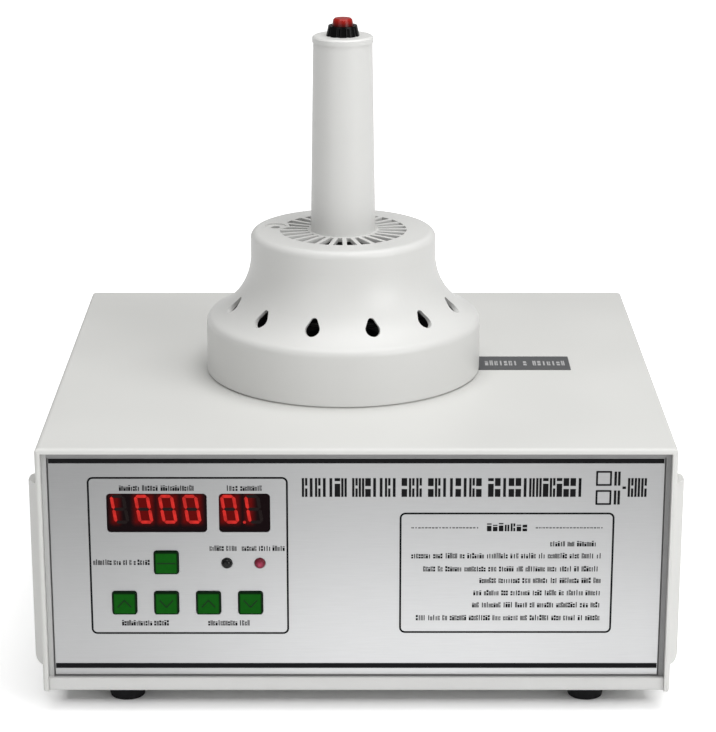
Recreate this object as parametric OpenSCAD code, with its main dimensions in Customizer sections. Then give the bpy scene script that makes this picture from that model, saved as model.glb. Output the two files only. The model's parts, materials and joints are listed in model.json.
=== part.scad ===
// Desk-top induction cap sealer: a generator casing with a hand-held sealing head resting on its lid.
// Millimetres, +Z up, the control panel faces -Y. The origin is the middle of the footprint at the feet.

/* [Casing] */
// Width of the casing without the side louvres
case_w = 290; // [276:1:320]
// Depth of the casing from the front rim to the rear wall
case_d = 260; // [250:1:300]
// Height of the casing from its underside to the lid
case_h = 119.5; // [116:0.5:140]
// Thickness of the sheet steel
sheet_t = 1.2; // [1:0.1:1.5]
// Outer radius of the folds along the casing
corner_r = 2.2; // [1.8:0.1:4]
// Thickness of the hemmed front rim
rim_t = 2.5; // [2:0.1:3.5]
// Depth of the hemmed front rim
rim_d = 9; // [6:0.5:9.5]
// Rounding of the rim's outer front edge
rim_r = 1.6; // [0.8:0.1:2]
// Width of the folds under the cover's sides
return_w = 8; // [6:0.5:14]
// Height of the tray's edge flanges
flange_h = 12; // [10:0.5:16]
// Gap left between neighbouring pieces of the casing
fit_gap = 0.15; // [0.1:0.05:0.3]

/* [Louvres] */
// Number of louvres on each side
louvre_count = 9; // [5:1:9]
// Distance from one louvre to the next
louvre_pitch = 24; // [21:0.5:26]
// Distance from the front rim to the first louvre
louvre_first = 12; // [11:0.5:18]
// Depth of one louvre hood, front to back
louvre_l = 16; // [12:0.5:18]
// Height of a louvre
louvre_h = 90; // [70:1:98]
// Height of the louvres' lower ends above the casing's underside
louvre_z = 8; // [6:0.5:14]
// How far a hood stands out
louvre_out = 6.5; // [4:0.1:8]
// Rounding of the hood's ends
louvre_r = 3; // [2:0.1:4]

/* [Feet] */
// Height of a rubber foot below the casing
foot_h = 10; // [8:0.5:16]
// Diameter of a foot at its top
foot_d = 20; // [18:0.5:26]
// Diameter of a foot on the table
foot_tip_d = 16; // [14:0.5:18]
// Distance of the feet from the middle plane
foot_x = 108; // [90:1:120]
// Distance of the feet from the front rim and from the rear wall
foot_inset = 22; // [20:1:40]

/* [Front] */
// Depth of the moulded front frame, measured from the rim's front
frame_d = 10; // [9.5:0.5:12]
// How far the frame's face lies behind the rim
frame_set = 1.6; // [1:0.1:2]
// Height of the frame's sill below the panel
sill_h = 6.7; // [5:0.1:9]
// Width of the frame's side strips
jamb_w = 2.3; // [1.8:0.1:4]
// Rounding of the sill's lower front edge
sill_r = 2; // [1:0.1:3]
// How far the strips beside and above the panel lie behind the rim
strip_set = 4; // [3:0.1:4.4]
// Height of the frame's strip above the panel
strip_h = 2.85; // [2:0.05:4]
// How far the panel's face lies behind the rim
panel_set = 4.4; // [3.5:0.1:5]
// Thickness of the panel
panel_t = 1.5; // [1:0.1:2]
// Shadow gap round the panel
panel_gap = 0.7; // [0.4:0.1:1]
// Width of the ledge behind the panel's edge
ledge_w = 3; // [2.5:0.1:5]

/* [Controls] */
// Size of the counter window, width and height
counter_size = [45.3, 18.4];
// Distance of the display board's left edge from the panel's left edge
board_in = 12.35; // [6:0.05:20]
// Middle of the counter window: from the board's left edge, above the casing's underside
counter_at = [36.3, 87.3];
// Size of the timer window, width and height
timer_size = [23, 18.4];
// Middle of the timer window
timer_at = [76.2, 87.3];
// Corner radius of the windows
window_r = 1.8; // [1:0.1:3]
// Gap round a window, a key or a lamp in the panel
panel_fit = 0.35; // [0.3:0.05:0.5]
// Depth of the window face behind the panel's face
window_set = 0.3; // [0.1:0.1:0.6]
// Width and height of a key
key_w = 11; // [9:0.1:12]
// Corner radius of a key
key_r = 1.2; // [0.8:0.1:2]
// How far a key stands out of the panel
key_out = 1.5; // [1:0.1:2.2]
// Rounding of a key's front edges
key_edge = 0.6; // [0.3:0.1:0.8]
// Travel of a key
key_travel = 0.5; // [0.3:0.1:0.7]
// Middle of the zero key
zero_key_at = [40.1, 63.2];
// Middle of the first key of the lower row
row_key_at = [20.5, 43.3];
// Distance between the keys of the lower row
row_key_pitch = 19.3; // [16:0.1:20]
// Diameter of a signal lamp
lamp_d = 5; // [4:0.1:5]
// Middle of the work lamp
work_lamp_at = [67.8, 62.8];
// Middle of the power lamp
power_lamp_at = [82.9, 62.8];
// Distance from the panel's back to the display board
board_gap = 9; // [8.5:0.5:12]
// Thickness of the circuit boards
board_t = 1.6; // [1.2:0.1:2]
// Size of the display board, width and height
display_board_size = [98, 78];
// Height of the display board's middle above the casing's underside
display_board_z = 65; // [60:0.5:70]

/* [Sealing head] */
// Distance of the head's axis from the middle plane
head_x = -6.5; // [-30:0.5:10]
// Distance of the head's axis behind the front rim
head_back = 125.4; // [110:0.1:150]
// Outer radius of the bell's skirt
bell_r = 67.3; // [62:0.1:69]
// Height of the straight skirt
skirt_h = 24.4; // [23:0.1:27]
// Radius of the bell's shoulder
shoulder_r = 4.2; // [3.6:0.1:6]
// Radius of the hollow flare above the shoulder
flare_r = 33; // [30:0.5:36]
// Radius of the bell's neck
neck_r = 45.2; // [43.5:0.1:47]
// Height of the bell
bell_h = 70; // [68:0.5:80]
// Rounding of the bell's top edge
top_r = 3.5; // [3.2:0.1:4.5]
// Wall of the bell
bell_t = 2; // [1.8:0.1:3.2]
// Height of the base's edge that shows below the skirt
base_lip = 0.8; // [0.6:0.1:1.5]
// How far the base's edge lies inside the skirt
base_set = 1.3; // [1:0.1:2]
// Thickness of the base plate
base_t = 4; // [3.6:0.1:6]
// Number of drop-shaped vents in the flare
vent_count = 12; // [8:1:14]
// Radius at which the vents lie
vent_at = 54.5; // [53:0.1:58]
// Width of a vent
vent_w = 7.1; // [5:0.1:8]
// Length of a vent, square to its cut
vent_l = 9.3; // [8:0.1:11]
// Radius of a vent's narrow end
vent_tip_r = 1.8; // [1:0.1:2.2]
// Turn of the vents' cut away from upright
vent_tilt = 70; // [50:1:75]
// Number of slots in the bell's top
slot_count = 28; // [20:1:30]
// Inner radius of the slots
slot_in = 17.4; // [17:0.1:19]
// Outer radius of the slots
slot_out = 31; // [28:0.1:33]
// Width of the ribs between the slots
rib_w = 2.1; // [1.6:0.1:2.2]
// Diameter of the cable inlet's seat in the bell's top
inlet_d = 10.4; // [8:0.1:11]
// Depth of the cable inlet's seat
inlet_deep = 0.8; // [0.5:0.1:1.2]
// Bore of the cable inlet
inlet_bore = 4.5; // [3:0.1:7]
// Radius at which the cable inlet lies
inlet_at = 34; // [32:0.1:35]
// Solid rim round the cable inlet
inlet_rim = 1.6; // [1.2:0.1:2.5]

/* [Handle] */
// Radius of the handle at the bell
grip_r = 15.8; // [15:0.1:16.4]
// Radius of the handle at its top
grip_top_r = 14.2; // [14:0.1:15.5]
// Top of the handle above the lid, without its cap
grip_top = 162.3; // [140:0.1:180]
// Wall of the handle
grip_t = 2.4; // [2:0.1:2.5]
// Thickness of the handle's floor
grip_floor = 5; // [4.5:0.5:8]
// Thickness of the handle's cap
cap_t = 3; // [2.5:0.1:5]
// How far the cap's edge stands over the handle
cap_over = 0.45; // [0.2:0.05:0.8]
// Diameter of the collar at its foot
collar_d = 16; // [15.4:0.1:18]
// Diameter of the collar at its top
collar_top_d = 13.8; // [13.2:0.1:15]
// Height of the collar
collar_h = 4.9; // [4.7:0.1:8]
// Diameter of the trigger button
button_d = 10.2; // [9.6:0.1:10.6]
// Diameter of the button's top before its chamfer
button_top_d = 9.2; // [8:0.1:10]
// How far the button stands out of the collar
button_out = 3.4; // [3.2:0.1:6]
// Travel of the trigger button
button_travel = 3; // [2:0.1:3.2]
// Gap round the button
button_gap = 0.3; // [0.25:0.05:0.4]

/* [Lid label] */
// Distance of the label's front edge behind the front rim
label_back = 118.5; // [110:0.5:130]
// Width of the label, front to back
label_w = 21.5; // [15:0.5:26]
// Right end of the label from the middle plane
label_end = 106; // [90:1:130]
// Thickness of the label
label_t = 0.4; // [0.3:0.1:0.5]

/* [Rear] */
// Size of the fan's square frame
fan_w = 80; // [78:1:84]
// Depth of the fan
fan_d = 25; // [22:1:28]
// Distance between the fan's screws
fan_pitch = 71.5; // [69:0.1:72]
// Diameter of the fan's bore
fan_bore = 76; // [72:0.5:76.5]
// Middle of the fan: from the middle plane, above the casing's underside
fan_at = [62, 62];
// Number of fan blades
blade_count = 7; // [5:1:9]
// Wire of the finger guard
guard_wire = 2; // [1.6:0.1:2.4]
// Middle of the mains inlet
mains_at = [-82, 34];
// Middle of the rocker switch
rocker_at = [-82, 66];
// Turn of the rocker from one end to the other
rocker_turn = 20; // [14:1:22]
// Middle of the fuse holder
fuse_at = [-40, 34];
// Middle of the head cable's gland
gland_at = [-12, 34];
// How far the gland stands out of the rear wall
gland_out = 16; // [15:0.5:20]
// Bore of the gland
gland_bore = 7; // [5:0.5:8]

/* [Inside] */
// Height of the posts under the main board
post_h = 8; // [5:0.5:12]
// Size of the main board, width and depth
main_board_size = [150, 150];
// Middle of the main board
main_board_at = [-48, -14];
// Length of the heat sink, front to back
sink_l = 120; // [90:1:130]
// Width of the heat sink
sink_w = 56; // [44:1:60]
// Height of the heat sink
sink_h = 62; // [50:1:72]
// Number of fins
fin_count = 9; // [6:1:10]

/* [Hidden] */
$fn = 64;
eps = 0.01;
over = 1;

// Heights
z_case = foot_h;
z_lid = foot_h + case_h;
z_floor = z_case + sheet_t + fit_gap;
z_inside = z_floor + sheet_t;

// Depths
y_front = -(case_d + gland_out) / 2;
y_rear = y_front + case_d;
y_frame = y_front + frame_set;
y_strip = y_front + strip_set;
y_panel = y_front + panel_set;
y_panel_back = y_panel + panel_t;
y_board = y_panel_back + board_gap;
y_wall = y_rear - sheet_t;

// Front opening and panel
frame_half = case_w / 2 - rim_t - fit_gap;
frame_top = z_lid - rim_t - fit_gap;
open_half = frame_half - jamb_w;
panel_half = open_half - panel_gap;
panel_z0 = z_case + sill_h + panel_gap;
strip_foot = frame_top - strip_h;
panel_z1 = strip_foot - 2 * fit_gap;
board_x = board_in - panel_half;

// Keys and the switches behind them
key_names = ["power_up", "power_down", "time_up", "time_down"];
key_stop = 0.3;
key_flange_t = 1;
key_flange_w = key_w + 2 * panel_fit + 2.4;
key_stem_d = 3.4;
switch_w = 6;
switch_h = 3.5;
stem_in = 1.2;
all_keys = concat([zero_key_at], [for (i = [0:3]) row_key(i)]);

// Small screws: M3 and M4
m3_d = 3;
m3_head_d = 5.6;
m3_head_h = 2;
m4_d = 4;
m4_head_d = 7.6;
m4_head_h = 2.6;
hole_gap = 0.15;
m3_hole = m3_d + 2 * hole_gap;
m4_hole = m4_d + 2 * hole_gap;
m4_nut_d = 8.1;
m4_nut_h = 3.2;
board_post_d = 6;
post_inset = 5;
screw_in = 6;
main_screw_in = 4;
lamp_rim = 0.9;
lamp_rim_h = 1;

// Louvre arc
louvre_slit = 0.5;
louvre_arc = (louvre_l * louvre_l + louvre_out * louvre_out) / (2 * louvre_out);
cover_screw_y = [y_front + louvre_first + louvre_pitch + louvre_l + (louvre_pitch - louvre_l) / 2,
                 y_front + louvre_first + (louvre_count - 2) * louvre_pitch - (louvre_pitch - louvre_l) / 2];
cover_screw_z = z_floor + flange_h / 2;

// Bell arcs: the shoulder's centre, the flare's centre, and the point where they meet
head_y = y_front + head_back;
shoulder_c = [bell_r - shoulder_r, skirt_h];
flare_dx = neck_r + flare_r - shoulder_c[0];
flare_c = [neck_r + flare_r, skirt_h + sqrt(pow(shoulder_r + flare_r, 2) - pow(flare_dx, 2))];
blend_at = shoulder_c + (flare_c - shoulder_c) * shoulder_r / (shoulder_r + flare_r);
vent_z = flare_c[1] - sqrt(pow(flare_r, 2) - pow(flare_c[0] - vent_at, 2));
flank_in = 0.995;
plug_gap = 0.15;
plug_r = bell_r - bell_t - plug_gap;
base_r = bell_r - base_set;
boss_d = 7;
boss_at = bell_r - bell_t - boss_d / 2 + 0.8;
boss_h = 16;
slot_turn = 8.4;
inlet_turn = 168;
screw_sink_d = 6.2;
screw_sink_h = 1.7;

// Baffle under the slots
baffle_in = slot_in - 2.2;
baffle_over = 1.5;
baffle_t = 1;
baffle_drop = 4;

// Coil
former_r = boss_at - boss_d / 2 - 0.6;
former_hub = 14;
former_t = 9;
former_web = 2;
coil_wire = 3.2;
coil_in = 19;
coil_turns = 10;
coil_pitch = 3.1;
bar_count = 6;
bar_l = 36;
bar_w = 12;
bar_t = 6;
bar_in = 18;

// Handle
z_head = z_lid + base_lip;
z_bell_top = z_lid + bell_h;
z_grip_top = z_lid + grip_top;
z_cap_top = z_grip_top + cap_t;
grip_screw_at = 10;
grip_screw_count = 3;
wire_hole_d = 11;
cap_plug_h = 4;
cap_r = grip_top_r + cap_over;
cap_edge = 0.8;
bush_d = 11.8;
bush_up = 1;
bush_gap = 0.1;
stem_d = 8;
button_chamfer = 0.7;
collar_grips = 10;
collar_groove_d = 2.2;
collar_groove_out = 0.35;
collar_edge = 0.6;
stem_down = 4;
switch_d = 18;
switch_l = 22;
switch_floor = z_cap_top - stem_down - button_travel - 1.2;
button_foot = z_cap_top + bush_up + button_travel + 0.4;

// Rear pieces
blade_t = 1.6;
blade_turn = 38;
fan_hub_d = 32;
fan_tip_gap = 1.2;
motor_d = 30;
motor_t = 5;
fan_shaft_d = 4;
shaft_gap = 0.05;
fan_strut_w = 4;
guard_rings = [12, 21, 30, 39];
ear_r = 3.4;
fan_screw_l = 14;
inlet_screw_l = 10;
mains_flange = [50, 22.6, 3];
mains_body = [28, 20.4, 20];
mains_mouth = [24.2, 16.4];
mains_chamfer = 4;
mains_depth = 17;
mains_screw_pitch = 40;
pin_w = 2;
pin_h = 4;
pin_tip = 5.4;
pin_tail = 9;
pin_places = [[-7, -2], [7, -2], [0, 2]];
rocker_body = [12.6, 19, 17];
rocker_flange = [15.6, 22, 2];
rocker_cell = [9.6, 16.2, 8];
rocker_w = 9;
rocker_half = 7;
rocker_foot = 5;
rocker_rise = 4.2;
rocker_dip = 2.6;
rocker_sink = 4;
rocker_pivot = -1.2;
trunnion_r = 1.2;
trunnion_l = 1.2;
fuse_d = 12;
fuse_cap_d = 14.5;
fuse_cap_h = 9;
fuse_grips = 12;
fuse_l = 26;
fuse_nut_h = 3;
fuse_nut_d = 18;
fuse_rim = 1;
fuse_rim_h = 2;
fuse_slot = 1.6;
gland_thread_d = 15;
gland_thread_l = 8;
gland_hex = 18;
gland_hex_h = 5;
gland_nut_h = 4;
gland_cone = 3;

// Inside pieces
z_main = z_inside + post_h;
z_parts = z_main + board_t;
sink_gap = 12;
sink_at = [fan_at[0], y_wall - fan_d - sink_gap - sink_l / 2];
sink_base = 6;
fin_t = 1.8;
transistor_count = 4;
transistor = [5, 16, 21];
transistor_hole = 5;
core = [56, 22, 56];
core_leg = 9;
core_mid = 18;
core_at = [-38, 38];
wind_gap = 0.4;
can_d = 30;
can_h = 46;
can_at = [-52, -50];
can_pitch = 36;
can_groove = 1.6;
film_box = [42, 20, 34];
film_at = [24, -58];
film_pitch = 26;
bridge = [26, 26, 10];
bridge_at = [main_board_size[0] / 2 - 15, -40];
choke_at = [main_board_size[0] / 2 - 37, main_board_size[1] / 2 - 27];
choke_r = 14;
choke_core_r = 6;
choke_turn_r = 7;
choke_turns = 18;
choke_wire = 1.6;
choke_foot = [18, 18, 1.4];

paint = "#e4e4e0";
white_plastic = "#f1f1ee";
silver = "#b8babc";
steel = "#a9abae";
black = "#1c1c1e";
board_green = "#2f6b45";
key_green = "#1f7a35";

// Shared shapes

// Place on the panel of a control that is measured from the display board's left edge
function control(at) = [board_x + at[0], z_case + at[1]];

// Place of a key of the lower row
function row_key(i) = [row_key_at[0] + i * row_key_pitch, row_key_at[1]];

// An outline in X and Z drawn out from y0 towards the rear
module extrude_y(y0, len) {
    translate([0, y0 + len, 0]) rotate([90, 0, 0]) linear_extrude(len) children();
}

// An outline in Y and Z drawn out from x0 to the right
module extrude_x(x0, len) {
    translate([x0, 0, 0]) rotate([90, 0, 90]) linear_extrude(len) children();
}

// A rectangle about its middle with round corners
module rounded_rect(w, h, r) {
    square([w - 2 * r, h], center = true);
    square([w, h - 2 * r], center = true);
    for (sx = [-1, 1], sy = [-1, 1])
        translate([sx * (w / 2 - r), sy * (h / 2 - r)]) circle(r);
}

// The casing's cross-section, drawn in by an inset
module case_section(inset) {
    translate([0, z_case + case_h / 2])
        rounded_rect(case_w - 2 * inset, case_h - 2 * inset, max(corner_r - inset, 0.3));
}

// A rectangle from a to b whose first corners along the first axis are round
module front_rounded(a, b, r) {
    translate([a[0] + r, a[1]]) square([b[0] - a[0] - r, b[1] - a[1]]);
    translate([a[0], a[1] + r]) square([b[0] - a[0], b[1] - a[1] - 2 * r]);
    for (y = [a[1] + r, b[1] - r]) translate([a[0] + r, y]) circle(r);
}

// A pan-head screw with the underside of its head at the origin, its shank along +Z
module pan_screw(d, len, head_d, head_h) {
    cylinder(d = d, h = len);
    translate([0, 0, -head_h]) difference() {
        cylinder(d1 = head_d * 0.72, d2 = head_d, h = head_h);
        for (a = [0, 90]) rotate(a) translate([-head_d * 0.3, -0.45, -over])
            cube([head_d * 0.6, 0.9, over + head_h * 0.45]);
    }
}

// Copies at the four corners of a rectangle about the origin
module corners(w, h) {
    for (sx = [-1, 1], sy = [-1, 1]) translate([sx * w / 2, sy * h / 2, 0]) children();
}

// Copies on the rear wall: X and Z of a place there, the outward side along +Z of the child
module on_rear(at, y) {
    translate([at[0], y, z_case + at[1]]) rotate([-90, 0, 0]) children();
}

// Copies on the panel: the inward side along +Z of the child
module on_panel(at, y) {
    translate([board_x + at[0], y, z_case + at[1]]) rotate([-90, 0, 0]) children();
}

// Copies at the four feet
module at_feet() {
    for (sx = [-1, 1], y = [y_front + foot_inset, y_rear - foot_inset])
        translate([sx * foot_x, y, 0]) children();
}

// Copies in the head's own place, standing on the lid
module on_head() {
    translate([head_x, head_y, z_lid]) children();
}

// Casing

// Solid of one louvre on the right side, drawn in by an inset
module louvre_solid(y0, inset) {
    reach = case_w / 2 + louvre_out - inset;
    root = case_w / 2 - sheet_t - (inset > 0 ? over : 0);
    low = z_case + louvre_z + inset;
    high = z_case + louvre_z + louvre_h - inset;
    round_r = louvre_r - inset;
    intersection() {
        translate([0, 0, low]) linear_extrude(high - low) intersection() {
            translate([case_w / 2 + louvre_out - louvre_arc, y0 + louvre_l])
                circle(louvre_arc - inset, $fn = 128);
            translate([root, y0]) square([reach - root, louvre_l + (inset > 0 ? louvre_slit : 0)]);
        }
        extrude_y(y0 - over, louvre_l + 3 * over) {
            translate([root - over, low]) square([reach - round_r - root + over, high - low]);
            translate([root - over, low + round_r]) square([reach - root + over, high - low - 2 * round_r]);
            for (z = [low + round_r, high - round_r]) translate([reach - round_r, z]) circle(round_r);
        }
    }
}

// All louvres of both sides
module louvres(inset) {
    for (side = [0, 1]) mirror([side, 0, 0])
        for (i = [0:louvre_count - 1]) louvre_solid(y_front + louvre_first + i * louvre_pitch, inset);
}

// Top, sides and hemmed rim, with the rim's front edge rounded
module cover_tube() {
    intersection() {
        difference() {
            extrude_y(y_front, case_d) case_section(0);
            extrude_y(y_front - over, rim_d + over) case_section(rim_t);
            extrude_y(y_front + rim_d - eps, case_d) case_section(sheet_t);
            translate([return_w - case_w / 2, y_front - over, z_case - over])
                cube([case_w - 2 * return_w, case_d + 2 * over, over + case_h / 2]);
            translate([rim_t - case_w / 2, y_front - over, z_case - over])
                cube([case_w - 2 * rim_t, over + frame_d + fit_gap, over + case_h / 2]);
        }
        extrude_x(-case_w, 2 * case_w) front_rounded([y_front, z_case], [y_rear, z_lid], rim_r);
        translate([0, 0, z_case - over]) linear_extrude(case_h + 2 * over) rotate(90)
            front_rounded([y_front, -case_w / 2], [y_rear, case_w / 2], rim_r);
    }
}

module cover() {
    color(paint) difference() {
        union() {
            cover_tube();
            louvres(0);
        }
        louvres(sheet_t);
        for (y = cover_screw_y) translate([-case_w, y, cover_screw_z]) rotate([0, 90, 0])
            cylinder(d = m3_hole, h = 2 * case_w);
    }
}

// Holes in the tray's rear wall
module rear_cuts() {
    on_rear(fan_at, y_wall - over) {
        cylinder(d = fan_bore, h = sheet_t + 2 * over);
        corners(fan_pitch, fan_pitch) cylinder(d = m4_hole, h = sheet_t + 2 * over);
    }
    on_rear(mains_at, y_wall - over) {
        linear_extrude(sheet_t + 2 * over)
            square([mains_body[0] + 2 * fit_gap, mains_body[1] + 2 * fit_gap], center = true);
        for (sx = [-1, 1]) translate([sx * mains_screw_pitch / 2, 0, 0])
            cylinder(d = m3_hole, h = sheet_t + 2 * over);
    }
    on_rear(rocker_at, y_wall - over) linear_extrude(sheet_t + 2 * over)
        square([rocker_body[0] + 2 * fit_gap, rocker_body[1] + 2 * fit_gap], center = true);
    on_rear(fuse_at, y_wall - over) cylinder(d = fuse_d + 2 * fit_gap, h = sheet_t + 2 * over);
    on_rear(gland_at, y_wall - over) cylinder(d = gland_thread_d + 2 * fit_gap, h = sheet_t + 2 * over);
}

// Floor, rear wall and edge flanges, folded from one sheet
module base_tray() {
    y0 = y_front + frame_d + fit_gap;
    inner_half = case_w / 2 - 2 * sheet_t - fit_gap;
    color(paint) difference() {
        extrude_y(y0, y_rear - y0) case_section(sheet_t + fit_gap);
        translate([-inner_half, y0 + sheet_t, z_inside])
            cube([2 * inner_half, y_wall - y0 - sheet_t, case_h]);
        translate([-case_w, y0 - over, z_floor + flange_h]) cube([2 * case_w, y_wall - y0 + over, case_h]);
        rear_cuts();
        for (y = cover_screw_y) translate([-case_w, y, cover_screw_z]) rotate([0, 90, 0])
            cylinder(d = m3_hole, h = 2 * case_w);
        at_feet() translate([0, 0, z_floor - over]) cylinder(d = m4_hole, h = sheet_t + 2 * over);
        at_main_posts() translate([0, 0, z_floor - over]) cylinder(d = m3_hole, h = sheet_t + 2 * over);
    }
}

module cover_screws() {
    color(steel) for (side = [0, 1], y = cover_screw_y) mirror([side, 0, 0])
        translate([case_w / 2, y, cover_screw_z]) rotate([0, -90, 0])
            pan_screw(m3_d, 8, m3_head_d, m3_head_h);
}

// Tapered rubber foot with a sunk screw seat
module feet() {
    color(black) at_feet() difference() {
        union() {
            cylinder(d1 = foot_tip_d, d2 = foot_d, h = foot_h - sheet_t);
            translate([0, 0, foot_h - sheet_t]) cylinder(d = foot_d, h = z_floor - foot_h + sheet_t);
        }
        translate([0, 0, -over]) cylinder(d = m4_head_d + 1.2, h = foot_h / 2 + over);
        cylinder(d = m4_hole, h = foot_h * 2);
    }
}

module foot_screws() {
    color(steel) at_feet() translate([0, 0, foot_h / 2])
        pan_screw(m4_d, z_inside + 5 - foot_h / 2, m4_head_d, m4_head_h);
}

module foot_nuts() {
    color(steel) at_feet() translate([0, 0, z_inside]) difference() {
        cylinder(d = m4_nut_d, h = m4_nut_h, $fn = 6);
        translate([0, 0, -over]) cylinder(d = m4_hole, h = m4_nut_h + 2 * over);
    }
}

// Strip on the lid whose left end follows the head's base
module lid_label() {
    color("#55565a") difference() {
        translate([head_x + base_r / 2, y_front + label_back, z_lid])
            cube([label_end - head_x - base_r / 2, label_w, label_t]);
        on_head() translate([0, 0, -over])
            cylinder(r = base_r + 2 * fit_gap, h = 2 * over + label_t, $fn = 128);
    }
}

// Control front

// Moulded frame: sill, set-back strips round the panel and the ledge that the panel lies on
module front_frame() {
    color(white_plastic) difference() {
        intersection() {
            extrude_y(y_frame, y_front + frame_d - y_frame)
                translate([-frame_half, z_case]) square([2 * frame_half, frame_top - z_case]);
            extrude_x(-case_w, 2 * case_w)
                front_rounded([y_frame, z_case], [y_rear, frame_top + 2 * sill_r], sill_r);
        }
        extrude_y(y_frame - over, y_strip - y_frame + over) translate([-case_w, z_case + sill_h])
            square([2 * case_w, case_h]);
        extrude_y(y_frame - over, y_panel_back - y_frame + over) translate([-open_half, z_case + sill_h])
            square([2 * open_half, strip_foot - z_case - sill_h]);
        extrude_y(y_panel_back - over, frame_d + 2 * over)
            translate([ledge_w - open_half, z_case + sill_h + ledge_w])
                square([2 * (open_half - ledge_w), strip_foot - z_case - sill_h - 2 * ledge_w]);
    }
}

// Holes through the panel for the windows, keys and lamps
module panel_holes() {
    translate(control(counter_at))
        rounded_rect(counter_size[0] + panel_fit, counter_size[1] + panel_fit, window_r);
    translate(control(timer_at))
        rounded_rect(timer_size[0] + panel_fit, timer_size[1] + panel_fit, window_r);
    for (at = all_keys) translate(control(at))
        rounded_rect(key_w + 2 * panel_fit, key_w + 2 * panel_fit, key_r + panel_fit);
    for (at = [work_lamp_at, power_lamp_at]) translate(control(at))
        circle(d = lamp_d + panel_fit);
}

module front_panel() {
    color(silver) difference() {
        translate([-panel_half, y_panel, panel_z0]) cube([2 * panel_half, panel_t, panel_z1 - panel_z0]);
        extrude_y(y_panel - over, panel_t + 2 * over) panel_holes();
    }
}

// Seven-segment block behind its window
module display_block(size, at) {
    color(black) extrude_y(y_panel + window_set, y_board - y_panel - window_set)
        translate(control(at)) rounded_rect(size[0], size[1], window_r);
}

module counter_display() display_block(counter_size, counter_at);

module timer_display() display_block(timer_size, timer_at);

// Copies at the display board's posts
module at_board_posts(y) {
    on_panel([display_board_size[0] / 2, display_board_z], y)
        corners(display_board_size[0] - 2 * post_inset, display_board_size[1] - 2 * post_inset) children();
}

module display_board() {
    color(board_green) difference() {
        translate([board_x, y_board, z_case + display_board_z - display_board_size[1] / 2])
            cube([display_board_size[0], board_t, display_board_size[1]]);
        at_board_posts(y_board - over) cylinder(d = m3_hole, h = board_t + 2 * over);
    }
}

module board_standoffs() {
    color(steel) at_board_posts(y_panel_back) difference() {
        cylinder(d = board_post_d, h = board_gap);
        translate([0, 0, board_gap - screw_in - over]) cylinder(d = m3_hole, h = screw_in + 2 * over);
    }
}

module board_screws() {
    color(steel) at_board_posts(y_board + board_t) rotate([180, 0, 0])
        pan_screw(m3_d, board_t + screw_in - hole_gap, m3_head_d, m3_head_h);
}

// Key with round front edges, a stop flange behind the panel and a stem
module key(at) {
    front = y_panel - key_out;
    flange = y_panel_back + key_stop;
    x0 = control(at)[0] - key_w / 2;
    z0 = control(at)[1] - key_w / 2;
    color(key_green) {
        intersection() {
            extrude_y(front, flange - front + eps) translate(control(at))
                rounded_rect(key_w, key_w, key_r);
            extrude_x(x0 - over, key_w + 2 * over)
                front_rounded([front, z0], [y_board, z0 + key_w], key_edge);
            translate([0, 0, z0 - over]) linear_extrude(key_w + 2 * over) rotate(90)
                front_rounded([front, -x0 - key_w], [y_board, -x0], key_edge);
        }
        extrude_y(flange, key_flange_t) translate(control(at))
            square(key_flange_w, center = true);
        on_panel(at, flange) cylinder(d = key_stem_d, h = y_board - switch_h + stem_in - flange);
    }
}

module zero_key() key(zero_key_at);

module power_up_key() key(row_key(0));

module power_down_key() key(row_key(1));

module time_up_key() key(row_key(2));

module time_down_key() key(row_key(3));

// Push switches on the display board, each with a socket for its key's stem
module key_switches() {
    color(black) for (at = all_keys) on_panel(at, y_board - switch_h) difference() {
        translate([-switch_w / 2, -switch_w / 2, 0]) cube([switch_w, switch_w, switch_h]);
        translate([0, 0, -over])
            cylinder(d = key_stem_d + 2 * key_stop, h = over + stem_in + key_travel + key_stop);
    }
}

// Domed lamp whose foot stands on the display board
module lamp(at, tone) {
    color(tone) on_panel(at, y_panel) {
        cylinder(d = lamp_d, h = panel_t + board_gap);
        intersection() {
            sphere(d = lamp_d);
            translate([0, 0, -lamp_d]) cylinder(d = 2 * lamp_d, h = lamp_d + over);
        }
        translate([0, 0, panel_t + board_gap - lamp_rim_h]) cylinder(d = lamp_d + lamp_rim, h = lamp_rim_h);
    }
}

module work_lamp() lamp(work_lamp_at, "#26282a");

module power_lamp() lamp(power_lamp_at, "#ff5a6e");

// Electronics in the casing

// Copies at the main board's posts
module at_main_posts() {
    translate([main_board_at[0], main_board_at[1], 0])
        corners(main_board_size[0] - 2 * post_inset, main_board_size[1] - 2 * post_inset) children();
}

// Copies in the main board's own place, on its upper face
module on_board(at) {
    translate([main_board_at[0] + at[0], main_board_at[1] + at[1], z_parts]) children();
}

module main_board() {
    corner = main_board_at - main_board_size / 2;
    color(board_green) difference() {
        translate([corner[0], corner[1], z_main])
            cube([main_board_size[0], main_board_size[1], board_t]);
        at_main_posts() translate([0, 0, z_main - over]) cylinder(d = m3_hole, h = board_t + 2 * over);
    }
}

module main_standoffs() {
    color(steel) at_main_posts() translate([0, 0, z_inside]) difference() {
        cylinder(d = board_post_d, h = post_h);
        translate([0, 0, post_h - main_screw_in]) cylinder(d = m3_hole, h = main_screw_in + over);
    }
}

module main_screws() {
    color(steel) at_main_posts() translate([0, 0, z_parts]) rotate([180, 0, 0])
        pan_screw(m3_d, board_t + main_screw_in - hole_gap, m3_head_d, m3_head_h);
}

// Finned extrusion in the fan's stream, base to the left
module heat_sink() {
    x0 = sink_at[0] - sink_w / 2;
    y0 = sink_at[1] - sink_l / 2;
    color(silver) extrude_y(y0, sink_l) {
        translate([x0, z_inside]) square([sink_base, sink_h]);
        for (i = [0:fin_count - 1])
            translate([x0 + sink_base - eps, z_inside + i * (sink_h - fin_t) / (fin_count - 1)])
                square([sink_w - sink_base + eps, fin_t]);
    }
}

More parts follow.
